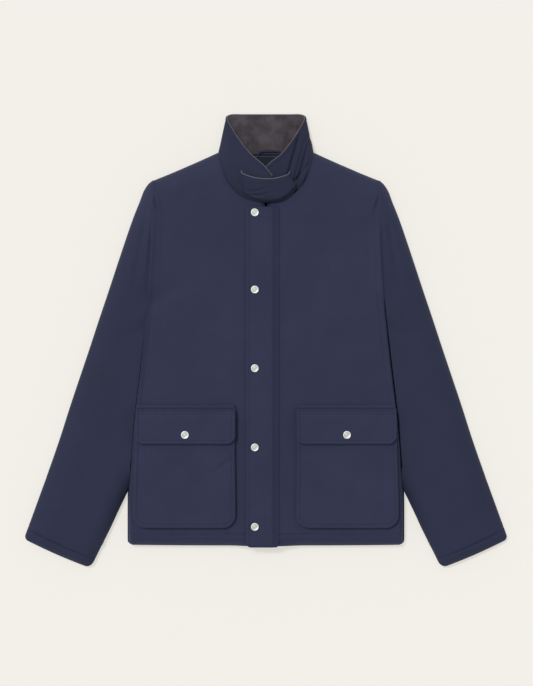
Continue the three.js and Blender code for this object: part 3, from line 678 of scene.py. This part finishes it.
def sleeve_rows(rows, first=0.0, gap=0.0):
    """Points down the sleeve's inner and outer edge, closer together by the cuff."""
    fine = catmull(SLEEVE_STATIONS)
    coarse = int(rows * 0.68)
    at = np.concatenate([np.linspace(first, 0.93, coarse, endpoint=False),
                         np.linspace(0.93, 1, rows - coarse)])
    inner_y, outer_y = read_off(fine, np.arange(len(fine)), at * (len(fine) - 1)).T
    apart = gap * between(inner_y, -262, -215, 215, 250)
    inner = np.stack([sleeve_inner_x(inner_y) + 0.3 - sleeve_tuck(inner_y) + apart, inner_y], 1)
    return inner, np.stack([sleeve_outer_x(outer_y), outer_y], 1)


def sleeve_tuck(y):
    """How far the sleeve goes in under the front's edge: near the shoulder the two run on as one."""
    return lerp(2.1, 2.9, smooth(y, 170, 235)) * smooth(y, -262, -215)


def up_the_cuff(x, y):
    """Distance from the cuff's edge up the sleeve, and the direction of that edge."""
    inner, outer = np.array(SLEEVE_INNER[-1], float), np.array(SLEEVE_OUTER[-1], float)
    run = unit(outer - inner)
    return -(x - inner[0]) * run[1] + (y - inner[1]) * run[0], run


def sleeve_points(sign, rows=300, half=52, inset=0.0, first=0.0, last=0.0, gap=0.0):
    """The inner face of a sleeve: under it from the inner edge to the outer, and back over it.

    inset makes it a lining that lies inside the sleeve, from the share first of the way down to last
    millimetres short of the cuff. gap is how far the sleeve lies from the front.
    """
    inner, outer = sleeve_rows(rows, first, gap)
    inner_y = inner[:, 1:]
    width = np.linalg.norm(outer - inner, axis=1)[:, None]
    height = lerp(SLEEVE_HEIGHT, CUFF_HEIGHT, np.clip((293 - inner_y) / 712, 0, 1))
    beside = 1 - smooth(-inner_y, 225, 290)
    edge_z = front_z(side_x(inner_y) - 0.01, inner_y) - 0.25
    contact = lerp(FRONT_HEIGHT - ARMHOLE_STEP, edge_z, smooth(inner_y, 190, 250))
    inner_top = lerp(9.0, contact, beside)
    inner_low = lerp(inner_top - 2 * SHELL, 0.4, beside)
    share = (0.5 - 0.5 * np.cos(math.pi * np.linspace(0, 1, half)))[None, :]
    x, y = (lerp(inner[:, k:k + 1], outer[:, k:k + 1], share) for k in (0, 1))
    up, run = up_the_cuff(x, y)
    # The cuff's edge bows out a little and its corners are round.
    near, corner = np.minimum(share, 1 - share) * width, lerp(10.0, 6.5, share)
    move = 2.0 * np.sin(math.pi * share) + lerp(2.2, 5.5, share) - corner_cut(near, corner)
    move = move * (1 - smooth(up, 0, 60)) * (inset == 0) - last * (1 - smooth(up, 0, 40))
    x, y = x + move * run[1], y - move * run[0]
    tuck = sleeve_tuck(inner_y)
    whole = lerp(SLEEVE_EDGE, height, crown(np.minimum((1 - share) * width, width - tuck), 46))
    creased = lerp(inner_top, whole, crown(share * width, lerp(30, 46, beside)))
    # Towards the shoulder the seam is flat, and the sleeve runs on from the front.
    flat = whole + (edge_z - whole[:, :1]) * (1 - smooth(share * width - tuck, 0, 26))
    top = lerp(creased, flat, smooth(inner_y, 150, 235))
    top = top - edge_drop(up, 30, np.maximum(top - CUFF_MOUTH, 0))
    low = np.maximum(edge_drop(share * width, 8, inner_low), SHELL)
    low = np.maximum(low, edge_drop((1 - share) * width, 8, SLEEVE_EDGE - 0.5))
    inside = smooth(share * width, 0, 40) * smooth((1 - share) * width, 0, 40) * smooth(up, 8, 50)
    top = top + inside * waves(x, y, 11, (210, 95, 50), (1.8, 1.0, 0.4)) + sleeve_detail(x, y, share, up)
    top = np.maximum(top - SHELL, low + 0.6)
    if inset:
        step = (0.5 - share) * 2 * inset / width
        x, y = x + step * (outer - inner)[:, :1], y + step * (outer - inner)[:, 1:]
        low = low + inset * 0.75
        top = np.maximum(top - inset * 0.75, low + 0.4)
    ring = np.concatenate([sheet_of(x, y, low), sheet_of(x, y, top)[:, -2::-1]], 1)
    return mirror_x(ring, sign)


def sleeve_detail(x, y, share, up):
    """The cuff's turned hem, and soft folds at the underarm, the shoulder and inside the elbow."""
    cuff = ridges(up - CUFF_STITCH, (-2.2, 0, 1.9), (1.2, -8, 6), (0.7, 5, 3))
    across = x * 0.906 + y * 0.423
    cuff = cuff + 0.8 * bump(up, CUFF_STITCH + 3, 8) * np.sin(across / 5.2 + 2 * np.sin(across / 19))
    drag = (x - 235) * 0.35 + (y - 40) * 0.94
    fold = ridges(drag, (-2.2, -20, 12), (1.8, 6, 13)) * bump(share, 0.1, 0.26)
    long_fold = -2.8 * bump(share, 0.42, 0.12) * between(y, 60, 130, 195, 260)
    long_fold = long_fold + 1.6 * bump(share, 0.16, 0.08) * between(y, 90, 150, 210, 255)
    elbow = -1.0 * bump((x - 290) * 0.5 + (y + 40) * 0.86, 0, 13) * bump(share, 0.25, 0.25)
    low_fold = -1.2 * bump(y + 0.35 * x, -130, 14) * bump(share, 0.75, 0.22)
    return cuff + fold + long_fold + elbow + low_fold


def elbow_joint(side, sign):
    """The bodies that a sleeve joins, and the stretch of it that bends between them."""
    lean = ELBOW_BEND * np.array([math.sin(ELBOW_LEAN), -math.cos(ELBOW_LEAN)])
    start, end = ((sign * (ELBOW[0] + way * lean[0]) * MM, (ELBOW[1] + way * lean[1]) * MM, ELBOW_Z * MM)
                  for way in (-1, 1))
    return "jacket", f"forearm_{side}", start, end


def make_sleeve(side, sign, m):
    points = sleeve_points(1, gap=SLEEVE_GAP[side])
    sleeve = cloth(f"sleeve_{side}", mirror_x(points, sign), m["sleeve"], SHELL, flip=True)
    upper = points[-60:, points.shape[1] // 2:][:, ::-1]
    line = []
    for k in range(2, upper.shape[1] - 2):
        up = up_the_cuff(upper[:, k, 0], upper[:, k, 1])[0]
        order = np.argsort(up)
        line.append(read_off(upper[order, k], up[order], CUFF_STITCH))
    line = to_side(np.array(line), sign) + np.array([0, 0, 0.15])
    seams = sew(f"cuff_stitches_{side}", [line], m["thread"], f"forearm_{side}")
    dress(sleeve, joint=elbow_joint(side, sign),
          nodes=(f"sleeve_upper_{side}", f"sleeve_lower_{side}"))
    inner = sleeve_points(sign, 60, 30, inset=4.2, first=0.72, last=6.0)
    lining = cloth(f"sleeve_inside_{side}", inner, m["lining"], 0.7, flip=True)
    dress(lining, f"forearm_{side}", nodes=(f"sleeve_lining_{side}",))


# ---- cuff tabs

def make_cuff_tab(side, sign, m):
    """A short tab on the inner edge of a cuff and the small snap that holds it."""
    tab_node = f"cuff_tab_{side}"
    centre = middle(tab_node)
    edge_way = unit(np.subtract(SLEEVE_INNER[-1], SLEEVE_INNER[-3]))
    outward = np.array([edge_way[1], -edge_way[0]])
    spot = np.array([abs(centre.x), centre.y]) - outward * TAB_TUCK
    v, u = shares(14, 24, -1)
    run = u * 9.0 * (1 - edge_drop((1 - v) * 14, 5, 0.35))
    out = 0.8 * np.sin(math.pi * v) - edge_drop(1 - np.abs(u), 0.5, 2.2) * (1 - v)
    x, y = (spot[k] + edge_way[k] * run + outward[k] * out for k in (0, 1))
    points = mirror_x(sheet_of(x, y, lerp(0.8, 14.5, v)), sign)
    tab = cloth(f"cuff_band_{side}", points, m["sleeve"], 1.4, 0.0)
    dress(tab, tab_node, nodes=(tab_node,))
    axis = Vector((sign * outward[0], outward[1], 0))
    for part, profile, reach, body in (("cap", cap_profile(CUFF_SNAP_RADIUS), 1.0, tab_node),
                                       ("stud", stud_profile(CUFF_SNAP_RADIUS), -2.6, f"forearm_{side}")):
        node = f"cuff_snap_{part}_{side}"
        x, y = spot + outward * reach
        place = (sign * x, y, middle(node).z)
        dress(lathe(node + "_turned", profile, place, m["nickel"], axis), body, nodes=(node,))


# ---- collar

# Neck seam and top edge of the collar from the back centre round the left side, x, y and height.
SEAM_SIDE = [(0, 344.5, 3.4), (46, 344.5, 3.4), (76, 347.5, 6), (87.5, 346, 16), (84.5, 317, 31),
             (69.5, 290.5, 35.2), (49, 269, 35.4), (24.5, 256.5, 35.6)]
EDGE_SIDE = [(0, 420, 3.4), (42, 420, 3.4), (65, 419.6, 4.5), (72.5, 412.5, 13), (62.5, 391, 26),
             (47, 366, 38), (28, 342, 47), (8, 326, 50.5)]
UNDER_END = ((-6, 256, 38), (-10, 308, 48.5))
OVER_NEXT = ((-14, 257, 38.6), (-4.5, 321, 55))
OVER_END = ((7, 256, 39.4), (12, 301, 56))


def collar_curves(count):
    """The neck seam and the top edge, paired by how far round the neck they are."""
    made = []
    for k, side in enumerate((SEAM_SIDE, EDGE_SIDE)):
        mirrored = [(-x, y, z) for x, y, z in side[:0:-1]]
        fine = catmull([OVER_END[k], OVER_NEXT[k], *mirrored[1:], *side, UNDER_END[k]])
        made.append(read_off(fine, np.arange(len(fine)), np.linspace(0, len(fine) - 1, count)))
    seam = made[0]
    seam[:, 0] -= 4.5 * bump(seam[:, 1], 288, 24) * (seam[:, 0] > 0)  # pulled in where the tab holds it
    return made


def collar_surface(offset, count=260, rows=40, low=0.0):
    """The collar's outer face moved along its normals, from the share low of its height upwards."""
    seam, edge = collar_curves(count)
    up = np.linspace(low, 1, rows)[:, None]
    points = lerp(seam[None], edge[None], up[..., None])
    # The front stands up from its seam and rolls towards the throat; the back lies flat.
    front = smooth(np.abs(np.linspace(0, 1, count)[None, :] - 0.5), 0.14, 0.34)
    points[..., 2] += 7.0 * front * np.sin(np.pi * up ** 0.6)
    # Its lower edge turns under into the seam.
    points[..., 2] -= edge_drop(up, 0.1, 2.4) * front * (low == 0)
    normal = unit(np.cross(np.gradient(points, axis=1), np.gradient(points, axis=0)))
    x, y = points[..., 0], points[..., 1]
    # A crease beside the seam on the wearer's left, where the tab pulls the collar over itself.
    beside = smooth(x, 14, 34) * (1 - smooth(y, 300, 332))
    fold = collar_folds(x, y, front) + ridges(up, (-5.2, 0.19, 0.04), (2.4, 0.10, 0.05)) * beside
    rim = ridges(up, (0.5, 0.97, 0.04), (-0.5, 0.9, 0.02))
    return points + normal * (offset - fold - rim * (low == 0))[..., None]


def collar_folds(x, y, front):
    """Creases on both sides of the collar's front, and a gentle unevenness all round."""
    above = y - 330
    left = ridges(x - above * 0.275, (-5.0, 47, 2.6), (2.6, 54, 5.0), (-5.6, 68, 2.4), (3.4, 74, 4.0),
                  (-2.5, 60, 2.0))
    right = ridges(-x - above * 0.12, (-2.4, 80, 4.5)) + ridges(-x, (1.8, 70, 6))
    right = right + ridges(-x - above * 0.3, (-1.8, 50, 8))
    fade = between(y, 262, 296, 372, 404)
    return front * (fade * (left + right) + 0.6 * waves(x, y, 3, (70, 40), (1.0, 0.6)))


def make_collar(m):
    shell = cloth("collar_outside", collar_surface(0.0), m["collar"], 1.8)
    dress(shell, "jacket", nodes=("collar_shell",))
    lining = cloth("collar_inside", collar_surface(0.5, low=0.03), m["corduroy"], 1.3, 1.0)
    seams = sew("collar_stitches", [collar_surface(2.1)[5, 90:170]], m["lining_thread"], "jacket")
    dress(lining, "jacket", nodes=("collar_lining",))
    rows = collar_surface(0.4)
    path = rows[-1] + 0.5 * unit(rows[-1] - rows[-3])
    dress(tube("collar_edge_piping", path, 0.95, m["piping"]), "jacket", nodes=("collar_piping",))


# ---- throat tab

def tab_z(x, y):
    return lerp(50.5, 59.5, (y - 261) / 52) - 8.5 * (x / 60) ** 2 + 2.6


def tab_points(rows=48, columns=100):
    v, u = shares(rows, columns, -1)
    left, right = np.clip(-u, 0, 1), np.clip(u, 0, 1)
    top = TAB_TOP - 2.0 * right - TAB_DIP * (1 - u ** 2)
    bottom = TAB_BOTTOM + 14 * left ** 2.4 + 27 * right ** 2.4
    low_x = lerp(TAB_LEFT + 4, TAB_RIGHT + 13, (u + 1) / 2)
    high_x = lerp(TAB_LEFT, TAB_RIGHT, (u + 1) / 2)
    x = lerp(low_x, high_x, smooth(v, 0, 1))
    y = lerp(bottom, top, v)
    edge = np.minimum(np.minimum(v, 1 - v) * 46, (1 - np.abs(u)) * 45)
    z = tab_z(x, y) + 1.3 * crown(edge, 6) + 0.9 * np.sin(x / 9 + y / 13) * smooth(edge, 2, 12)
    fold = bump(y - (TAB_BOTTOM + 9 + 0.006 * (x + 18) ** 2), 0, 2.2) * bump(x, -14, 22)
    fold = fold + 0.8 * bump(y - (TAB_BOTTOM + 17 + 0.01 * (x + 22) ** 2), 0, 2.0) * bump(x, -20, 16)
    return sheet_of(x, y, z - 2.6 * fold - edge_drop(v * 46, 12, 3.0) * (1 - 0.5 * u ** 2))


def make_throat_tab(m):
    points = tab_points()
    edge = points[-1, 2:-2] + np.array([0, 0.5, 0.1])
    # The piping hooks down a little at both of its ends.
    left_hook = edge[0] + np.array([[-1.6, 5.4, 0.6], [-2.6, 3.0, 0.4], [-1.4, 0.8, 0.1]])
    right_hook = edge[-1] + np.array([[1.6, 0.9, 0.1], [3.0, 3.2, 0.4], [3.6, 6.0, 0.6]])
    path = np.vstack([left_hook, edge[2:-2:8], right_hook])
    piping = tube("throat_band_piping", along(path, 110), 0.85, m["piping"])
    seams = sew("throat_band_stitches", [points[4, 6:-6] + np.array([0, 0, 0.05])], m["thread"], "throat_tab")
    dress(piping, "throat_tab", nodes=("throat_piping",))
    dress(cloth("throat_band", points, m["collar"], 1.9), "throat_tab", nodes=("throat_tab",))
    for node, body, down in (("throat_hook_pad", "throat_tab", 3.6), ("throat_loop_pad", "jacket", 4.6)):
        low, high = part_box(node)
        v, u = shares(12, 16)
        x, y = lerp(low.x, high.x, u) / MM, lerp(low.y, high.y, v) / MM
        inside = np.minimum(np.minimum(u, 1 - u) * PAD[0], np.minimum(v, 1 - v) * PAD[1])
        points = sheet_of(x, y, tab_z(x, y) - down - edge_drop(inside, 2, 0.36))
        pad = cloth(node + "_woven", points, m["tape"], 0.8)
        dress(pad, body, nodes=(node,))


# ---- placket

def placket_z(x, y):
    """Height of the placket's outer face: held off the front by its snaps, sewn down along its seam."""
    sewn = smooth(x, 10, 17)
    rise = lerp(PLACKET["lift"] + 2.0, 2.7, sewn)
    gap = np.min([np.abs(y - snap) for snap in snap_ys()], axis=0)
    loose = smooth(-x, 4, 34) * (1 - sewn) * smooth(gap, 8, 50)
    return FRONT_HEIGHT + rise - 1.3 * loose - edge_drop(y - PLACKET["bottom"], 12, 4.0)


def snap_ys():
    """Heights of the front snaps up the placket, from their nodes."""
    return [middle(f"front_snap_cap_{i}").y for i in range(1, FRONT_SNAPS + 1)]


def placket_points(rows=360, columns=56):
    """The outer face, its free lower corner rounded."""
    v, u = shares(rows, columns)
    y = lerp(PLACKET["bottom"], PLACKET["top"], v ** 1.25)
    cut = corner_cut(y - PLACKET["bottom"], PLACKET["corner"])
    left = PLACKET["left"] + cut
    x = lerp(left, PLACKET["right"] - 0.5 * cut, u)
    z = placket_z(x, y) + ridges(x - left, (0.4, 2.5, 2.5), (-0.35, 6, 1.4))
    z = z - edge_drop(x - left, 1.6, 0.8) - edge_drop(PLACKET["top"] - y, 2.0, 1.3)
    first, second = SEAM_STITCHES
    z = z + ridges(x, (-0.9, first, 1.0), (-0.9, second, 1.0), (0.5, (first + second) / 2, 1.0))
    z = z + 0.2 * np.sin(y / 3.9) * bump(x, 19.5, 4) + 0.25 * waves(x, y, 41, (80, 35), (1.0, 0.5))
    for snap in snap_ys():
        z = z - 0.7 * bump(np.hypot(x - FRONT_SNAP_X, y - snap), 0, 9)
    return sheet_of(x, y, z)


def make_placket(m):
    points = placket_points()
    lines = [crossing(points[6:], 0, x) for x in (*SEAM_STITCHES, PLACKET["left"] + 6)]
    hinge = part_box("storm_placket")[1].x / MM
    joint = ("jacket", "placket", ((hinge + 1) * MM, 0, 0.04), ((hinge - 11) * MM, 0, 0.04))
    seams = sew("placket_stitches", lines, m["thread"], joint=joint)
    dress(cloth("placket_panel", points, m["shell"], 1.9), joint=joint, nodes=("storm_placket",))


# ---- zip

def make_zip(m):
    """Two rows of moulded teeth on woven tapes."""
    for side, sign in SIDES.items():
        low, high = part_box(f"zip_chain_{side}")
        points, faces = [], []
        for i in range(int((high.y - low.y) / MM / ZIP_PITCH)):
            made = bead_faces(len(points), len(TOOTH_LEVELS), len(TOOTH))
            faces += made if sign < 0 else [face[::-1] for face in made]
            points += tooth(sign, low.y / MM + (i + 0.5 + 0.25 * sign) * ZIP_PITCH, (low.z + high.z) / 2 / MM)
        teeth = mesh_of(f"zip_teeth_{side}", points, faces, m["zip"], smooth_faces=False)
        dress(teeth, "jacket", nodes=(f"zip_chain_{side}",))
        low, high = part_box(f"zip_tape_{side}")
        v, u = shares(200, 12)
        y = lerp(low.y / MM, ZIP_TAPE_TOP, v)
        z = high.z / MM + 0.5 * bump(u, 0, 0.1) + 0.1 * np.sin(y / 7) * u
        points = mirror_x(sheet_of(lerp(2.6, 15.0, u), y, z), sign)
        tape = cloth(f"zip_band_{side}", points, m["tape"], 0.7)
        dress(tape, "jacket", nodes=(f"zip_tape_{side}",))


# A tooth's outline from above, which grips its tape behind and narrows to a rounded head past the middle,
# and the heights of its rings of points with their size.
TOOTH = [(3.4, 0.62), (1.7, 0.62), (0.9, 0.42), (0.2, 0.66), (-0.5, 0.5), (-0.7, 0),
         (-0.5, -0.5), (0.2, -0.66), (0.9, -0.42), (1.7, -0.62), (3.4, -0.62)]
TOOTH_LEVELS = [(-1.2, 0.85), (-0.9, 1.0), (0.9, 1.0), (1.2, 0.85)]


def tooth(sign, y, z):
    return [(sign * lerp(1.2, x, size), y + across * size, z + level)
            for level, size in TOOTH_LEVELS for x, across in TOOTH]


# ---- snaps

def lathe(name, profile, centre, material, axis=Vector((0, 0, 1)), steps=48):
    """A turned piece: profile of radius and height about a line through centre."""
    turn = np.linspace(0, 2 * math.pi, steps, endpoint=False)
    rings = np.array([[(r * math.cos(a), r * math.sin(a), h) for a in turn] for r, h in profile])
    obj = grid(name, rings, material, closed=True)
    close_ends(obj)
    spin = Vector((0, 0, 1)).rotation_difference(axis).to_matrix().to_4x4()
    obj.data.transform(Matrix.Translation(Vector(centre) * MM) @ spin)
    return obj


def cap_profile(radius):
    """A cap with a rolled rim, a dished face and one plain raised ring, over its socket."""
    r = radius
    face = [(0.22, 1.28), (0.30, 1.22), (0.345, 1.02), (0.39, 1.22), (0.46, 1.3), (0.52, 1.26), (0.57, 0.98),
            (0.62, 1.3), (0.70, 1.62), (0.79, 1.78), (0.87, 1.72), (0.94, 1.42), (0.985, 1.0), (1, 0.6),
            (0.985, 0.15), (0.94, 0)]
    socket = [(1.9, 0), (1.9, -2.2), (0.74 * r, -2.2), (0.76 * r, -2.4), (0.76 * r, -4.1), (0.72 * r, -4.3),
              (2.9, -4.3), (2.7, -4.1), (2.7, -3.2), (0.02, -3.2)]
    return [(0.02, 1.28), *((share * r, height) for share, height in face), *socket]


def stud_profile(radius):
    """A stud: a knob that the socket grips, on a round flange."""
    f = 0.68 * radius
    return [(0.02, 2.25), (1.7, 2.25), (2.15, 1.9), (2.2, 1.4), (1.95, 1.0), (2.2, 0.85), (0.9 * f, 0.85),
            (f, 0.6), (f, 0.3), (1.9, 0.25), (1.9, -0.3), (0.02, -0.3)]


def make_snaps(m):
    bodies = {f"front_snap_{{}}_{i}": "placket" for i in range(1, FRONT_SNAPS + 1)}
    bodies.update({f"pocket_snap_{{}}_{side}": f"pocket_flap_{side}" for side in SIDES})
    for name, body in bodies.items():
        cap, stud = name.format("cap"), name.format("stud")
        x, y, _ = middle(cap)
        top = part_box(cap)[1].z / MM
        made = lathe(cap + "_turned", cap_profile(SNAP_RADIUS), (x, y, top - 1.9), m["nickel"])
        # The middle of each cap's face is a darker nickel than its rim.
        darken_middle(made, Vector((x, y)) * MM, 0.55 * SNAP_RADIUS * MM, m["darker_nickel"])
        dress(made, body, nodes=(cap,))
        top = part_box(stud)[1].z / MM
        made = lathe(stud + "_turned", stud_profile(SNAP_RADIUS), (x, y, top - 2.3), m["nickel"])
        dress(made, "jacket", nodes=(stud,))


def darken_middle(cap, centre, reach, material):
    """Gives the upper faces within reach of a cap's middle a duller material."""
    cap.data.materials.append(material)
    top = max(vertex.co.z for vertex in cap.data.vertices)
    for face in cap.data.polygons:
        if (face.center.xy - centre).length < reach and top - face.center.z < 1.5 * MM:
            face.material_index = 1


# ---- pockets

def rounded_sheet(cut, rows, columns):
    """x from its middle and y over a sheet with round lower corners, and the shares across it."""
    v, u = shares(rows, columns, -1)
    y = lerp(cut["bottom"], cut["top"], v ** 1.5)
    u = lerp(u, np.sin(u * math.pi / 2), 0.7)
    half = cut["width"] / 2 - corner_cut(y - cut["bottom"], cut["corner"])
    return u * half, np.broadcast_to(y, (rows, columns)), u


def edge_distance(x, y, cut):
    """Distance in from the side and bottom edges of a rounded sheet."""
    out, corner = np.abs(x), cut["corner"]
    corner_x, corner_y = cut["width"] / 2 - corner, cut["bottom"] + corner
    radial = corner - np.hypot(np.maximum(out - corner_x, 0), np.maximum(corner_y - y, 0))
    straight = np.minimum(cut["width"] / 2 - out, y - cut["bottom"])
    return np.where((out > corner_x) & (y < corner_y), radial, straight)


def edge_loop(face, centre_y):
    """The sides and the bottom of a sheet as one line, and the way in towards its middle."""
    loop = np.vstack([face[::-1, 0], face[0, 1:-1], face[:, -1]])
    return loop, unit(np.array([POCKET["x"], centre_y]) - loop[:, :2])


def inside_edge(loop, inward, skip, inset):
    """A line on the front below one that runs inside an edge, short of its ends."""
    made = loop[skip:-skip].copy()
    made[:, :2] += inward[skip:-skip] * inset
    made[:, 2] = front_z(made[:, 0], made[:, 1])
    return made


def pocket_face(rows=130, columns=120):
    """The pocket's face, rolled over at its edges where the bellows are sewn in."""
    x, y, u = rounded_sheet(POCKET, rows, columns)
    inside = edge_distance(x, y, POCKET)
    over = POCKET["depth"] - edge_drop(inside, 3.0, 2.4) + ridges(inside, (-0.5, 7, 1.4), (0.5, 4, 2))
    over = over + 1.6 * smooth(inside, 4, 60) + waves(x, y, 21, (120, 60), (1.2, 0.6)) * smooth(inside, 6, 40)
    # Creases that run in from the upper inner corner.
    lean = (x + 92) * 0.55 + (y + 215) * 0.83
    over = over + ridges(lean, (-1.2, 0, 4.5), (0.9, 9, 6)) * bump(x, -70, 26)
    over = over - 1.2 * smooth(y, POCKET["top"] - 12, POCKET["top"])
    # It widens downwards, more on its outer side.
    down = 1 - smooth(y, POCKET["bottom"], POCKET["top"])
    x = POCKET["x"] + x + POCKET["flare"] * down * (1.5 * smooth(u, -1, 1) - 0.5)
    return sheet_of(x, y, front_z(x, y) + over)


def make_pocket(side, sign, m):
    face = pocket_face()
    loop, inward = edge_loop(face, (POCKET["top"] + POCKET["bottom"]) / 2)
    # The bellows: walls from the face's edge down to the front, folded in on the way.
    foot_z = front_z(loop[:, 0], loop[:, 1]) + 0.2
    rings = [loop]
    for share, pull in BELLOWS:
        rings.append(np.column_stack([loop[:, :2] + inward * pull, lerp(loop[:, 2], foot_z, share)]))
    walls = grid("walls", np.array(rings)[::-1], m["shell"])
    bag = join(f"pocket_{side}", [grid("face", face, m["shell"]), walls])
    weld(bag)
    thicken(bag, 1.6)
    if sign < 0:
        bag.data.transform(Matrix.Scale(-1, 4, Vector((1, 0, 0))))
        bag.data.flip_normals()
    line = inside_edge(loop, inward, 8, 7.0) + np.array([0, 0, POCKET["depth"] + 0.2])
    seams = sew(f"pocket_stitches_{side}", [to_side(line, sign)], m["thread"], "jacket")
    dress(bag, "jacket", nodes=(f"pocket_bag_{side}",))


def flap_over(y):
    """How far the flap lies over the front: sewn down at its top, with two rows of stitches across it."""
    from_top = FLAP["top"] - y
    first, second = FLAP_STITCHES
    over = lerp(2.8, FLAP["over"] + 2.4, crown(from_top, 20))
    return over + ridges(from_top, (-3.6, 0, 1.7), (-1.0, first, 1.1), (0.6, 7.8, 1.8), (-0.8, second, 1.1))


def make_flap(side, sign, m):
    x, y, _ = rounded_sheet(FLAP, 80, 120)
    inside = edge_distance(x, y, FLAP)
    over = flap_over(y) - edge_drop(inside, 2.4, 1.8) + ridges(inside, (-0.6, 6.5, 1.2), (0.5, 3.2, 2.0))
    over = over + 0.5 * waves(x, y, 31, (90, 45), (1.0, 0.5)) * smooth(inside, 5, 25)
    x = x + POCKET["x"] + FLAP["shift"]
    snap = middle("pocket_snap_cap_left")
    over = over - 1.0 * bump(np.hypot(x - snap.x, y - snap.y), 0, 10)
    points = sheet_of(x, y, front_z(x, y) + over)
    joint = ("jacket", f"pocket_flap_{side}", *((sign * 0.149, bend_y, 0.05) for bend_y in (-0.126, -0.138)))
    lines = [crossing(points[:, 5:-5].swapaxes(0, 1), 1, FLAP["top"] - drop) for drop in FLAP_STITCHES]
    line = inside_edge(*edge_loop(points, FLAP["top"] - 20), 16, 6.5)
    line[:, 2] += flap_over(line[:, 1]) - 0.4
    lines = [to_side(line, sign) for line in (*lines, line)]
    seams = sew(f"flap_stitches_{side}", lines, m["thread"], joint=joint)
    flap = cloth(f"flap_{side}", mirror_x(points, sign), m["shell"], 1.8)
    dress(flap, joint=joint, nodes=(f"pocket_flap_{side}",))
    make_welt(side, sign, m)


def make_welt(side, sign, m):
    """The folded band that the flap is sewn to."""
    v, u = shares(14, 80, -1)
    x = POCKET["x"] + FLAP["shift"] + u * FLAP["width"] / 2
    y = lerp(FLAP["top"] - 0.6, WELT_TOP, v)
    z = front_z(x, y) + 0.6 + 4.6 * crown(1 - v, 0.75) * crown(1 - np.abs(u), 0.03)
    welt = cloth(f"welt_{side}", mirror_x(sheet_of(x, y, z), sign), m["shell"], 1.4)
    dress(welt, "jacket", nodes=(f"pocket_welt_{side}",))


# ---- carried-over nodes

def dress_nodes(frame, m):
    """A better material for the metal nodes whose shape is right as it is."""
    for name in ("zip_box", "zip_slider", "zip_pull"):
        obj = frame["nodes"][name]
        obj.data.materials.clear()
        obj.data.materials.append(m["zip"])


# ---- stage

def floor_material():
    """A pale sweep that is partly lit from within, so that shadows on it stay faint."""
    look = Look("pale_floor", Base_Color=toned(FLOOR, 1 - FLOOR_GLOW), Emission_Color=FLOOR,
                Emission_Strength=1.015 * FLOOR_GLOW, Roughness=0.9)
    return look.material


def make_stage():
    corners = [(x * FLOOR_HALF, y * FLOOR_HALF, FLOOR_Z) for x, y in ((-1, -1), (1, -1), (1, 1), (-1, 1))]
    mesh_of("floor", corners, [(0, 1, 2, 3)], floor_material())
    world = bpy.data.worlds.new("studio")
    bpy.context.scene.world = world
    world.use_nodes = True
    fill(world.node_tree.nodes["Background"], {"Color": (1.0, 1.0, 1.0, 1), "Strength": 0.56})
    add_sun((-0.5, 0.55, 1.5), 1.72, 10)
    bpy.context.scene.view_settings.view_transform = "Standard"


def add_sun(place, strength, spread):
    """A soft light from far away in the direction of place, its disc spread degrees across."""
    light = bpy.data.lights.new("key", "SUN")
    light.energy = strength
    light.angle = math.radians(spread)
    obj = add_object("key", light)
    obj.location = place
    obj.rotation_euler = (-Vector(place)).to_track_quat("-Z", "Y").to_euler()


def make_camera():
    camera = bpy.data.cameras.new("camera")
    camera.sensor_fit = "VERTICAL"
    camera.sensor_height = 36.0
    distance, shown = 3.5, 1.269
    camera.lens = camera.sensor_height * distance / shown
    camera.clip_end = 50
    obj = add_object("camera", camera)
    obj.location = (0.001, -0.005, distance + 0.03)
    bpy.context.scene.camera = obj


# ---- the jacket

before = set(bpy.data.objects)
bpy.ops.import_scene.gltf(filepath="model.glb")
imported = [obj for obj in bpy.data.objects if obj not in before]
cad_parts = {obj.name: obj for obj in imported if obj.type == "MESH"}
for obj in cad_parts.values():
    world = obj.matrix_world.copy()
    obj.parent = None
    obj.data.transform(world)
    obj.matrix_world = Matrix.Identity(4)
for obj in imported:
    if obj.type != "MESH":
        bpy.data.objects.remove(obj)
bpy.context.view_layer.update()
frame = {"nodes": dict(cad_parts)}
make_camera()
make_stage()
cloths = make_materials()
dress_nodes(frame, cloths)
make_back(cloths)
for side_name, side_sign in SIDES.items():
    make_front(side_name, side_sign, cloths)
    make_sleeve(side_name, side_sign, cloths)
    make_pocket(side_name, side_sign, cloths)
    make_flap(side_name, side_sign, cloths)
    make_cuff_tab(side_name, side_sign, cloths)
make_neck_inside(cloths)
make_collar(cloths)
make_throat_tab(cloths)
make_placket(cloths)
make_zip(cloths)
make_snaps(cloths)
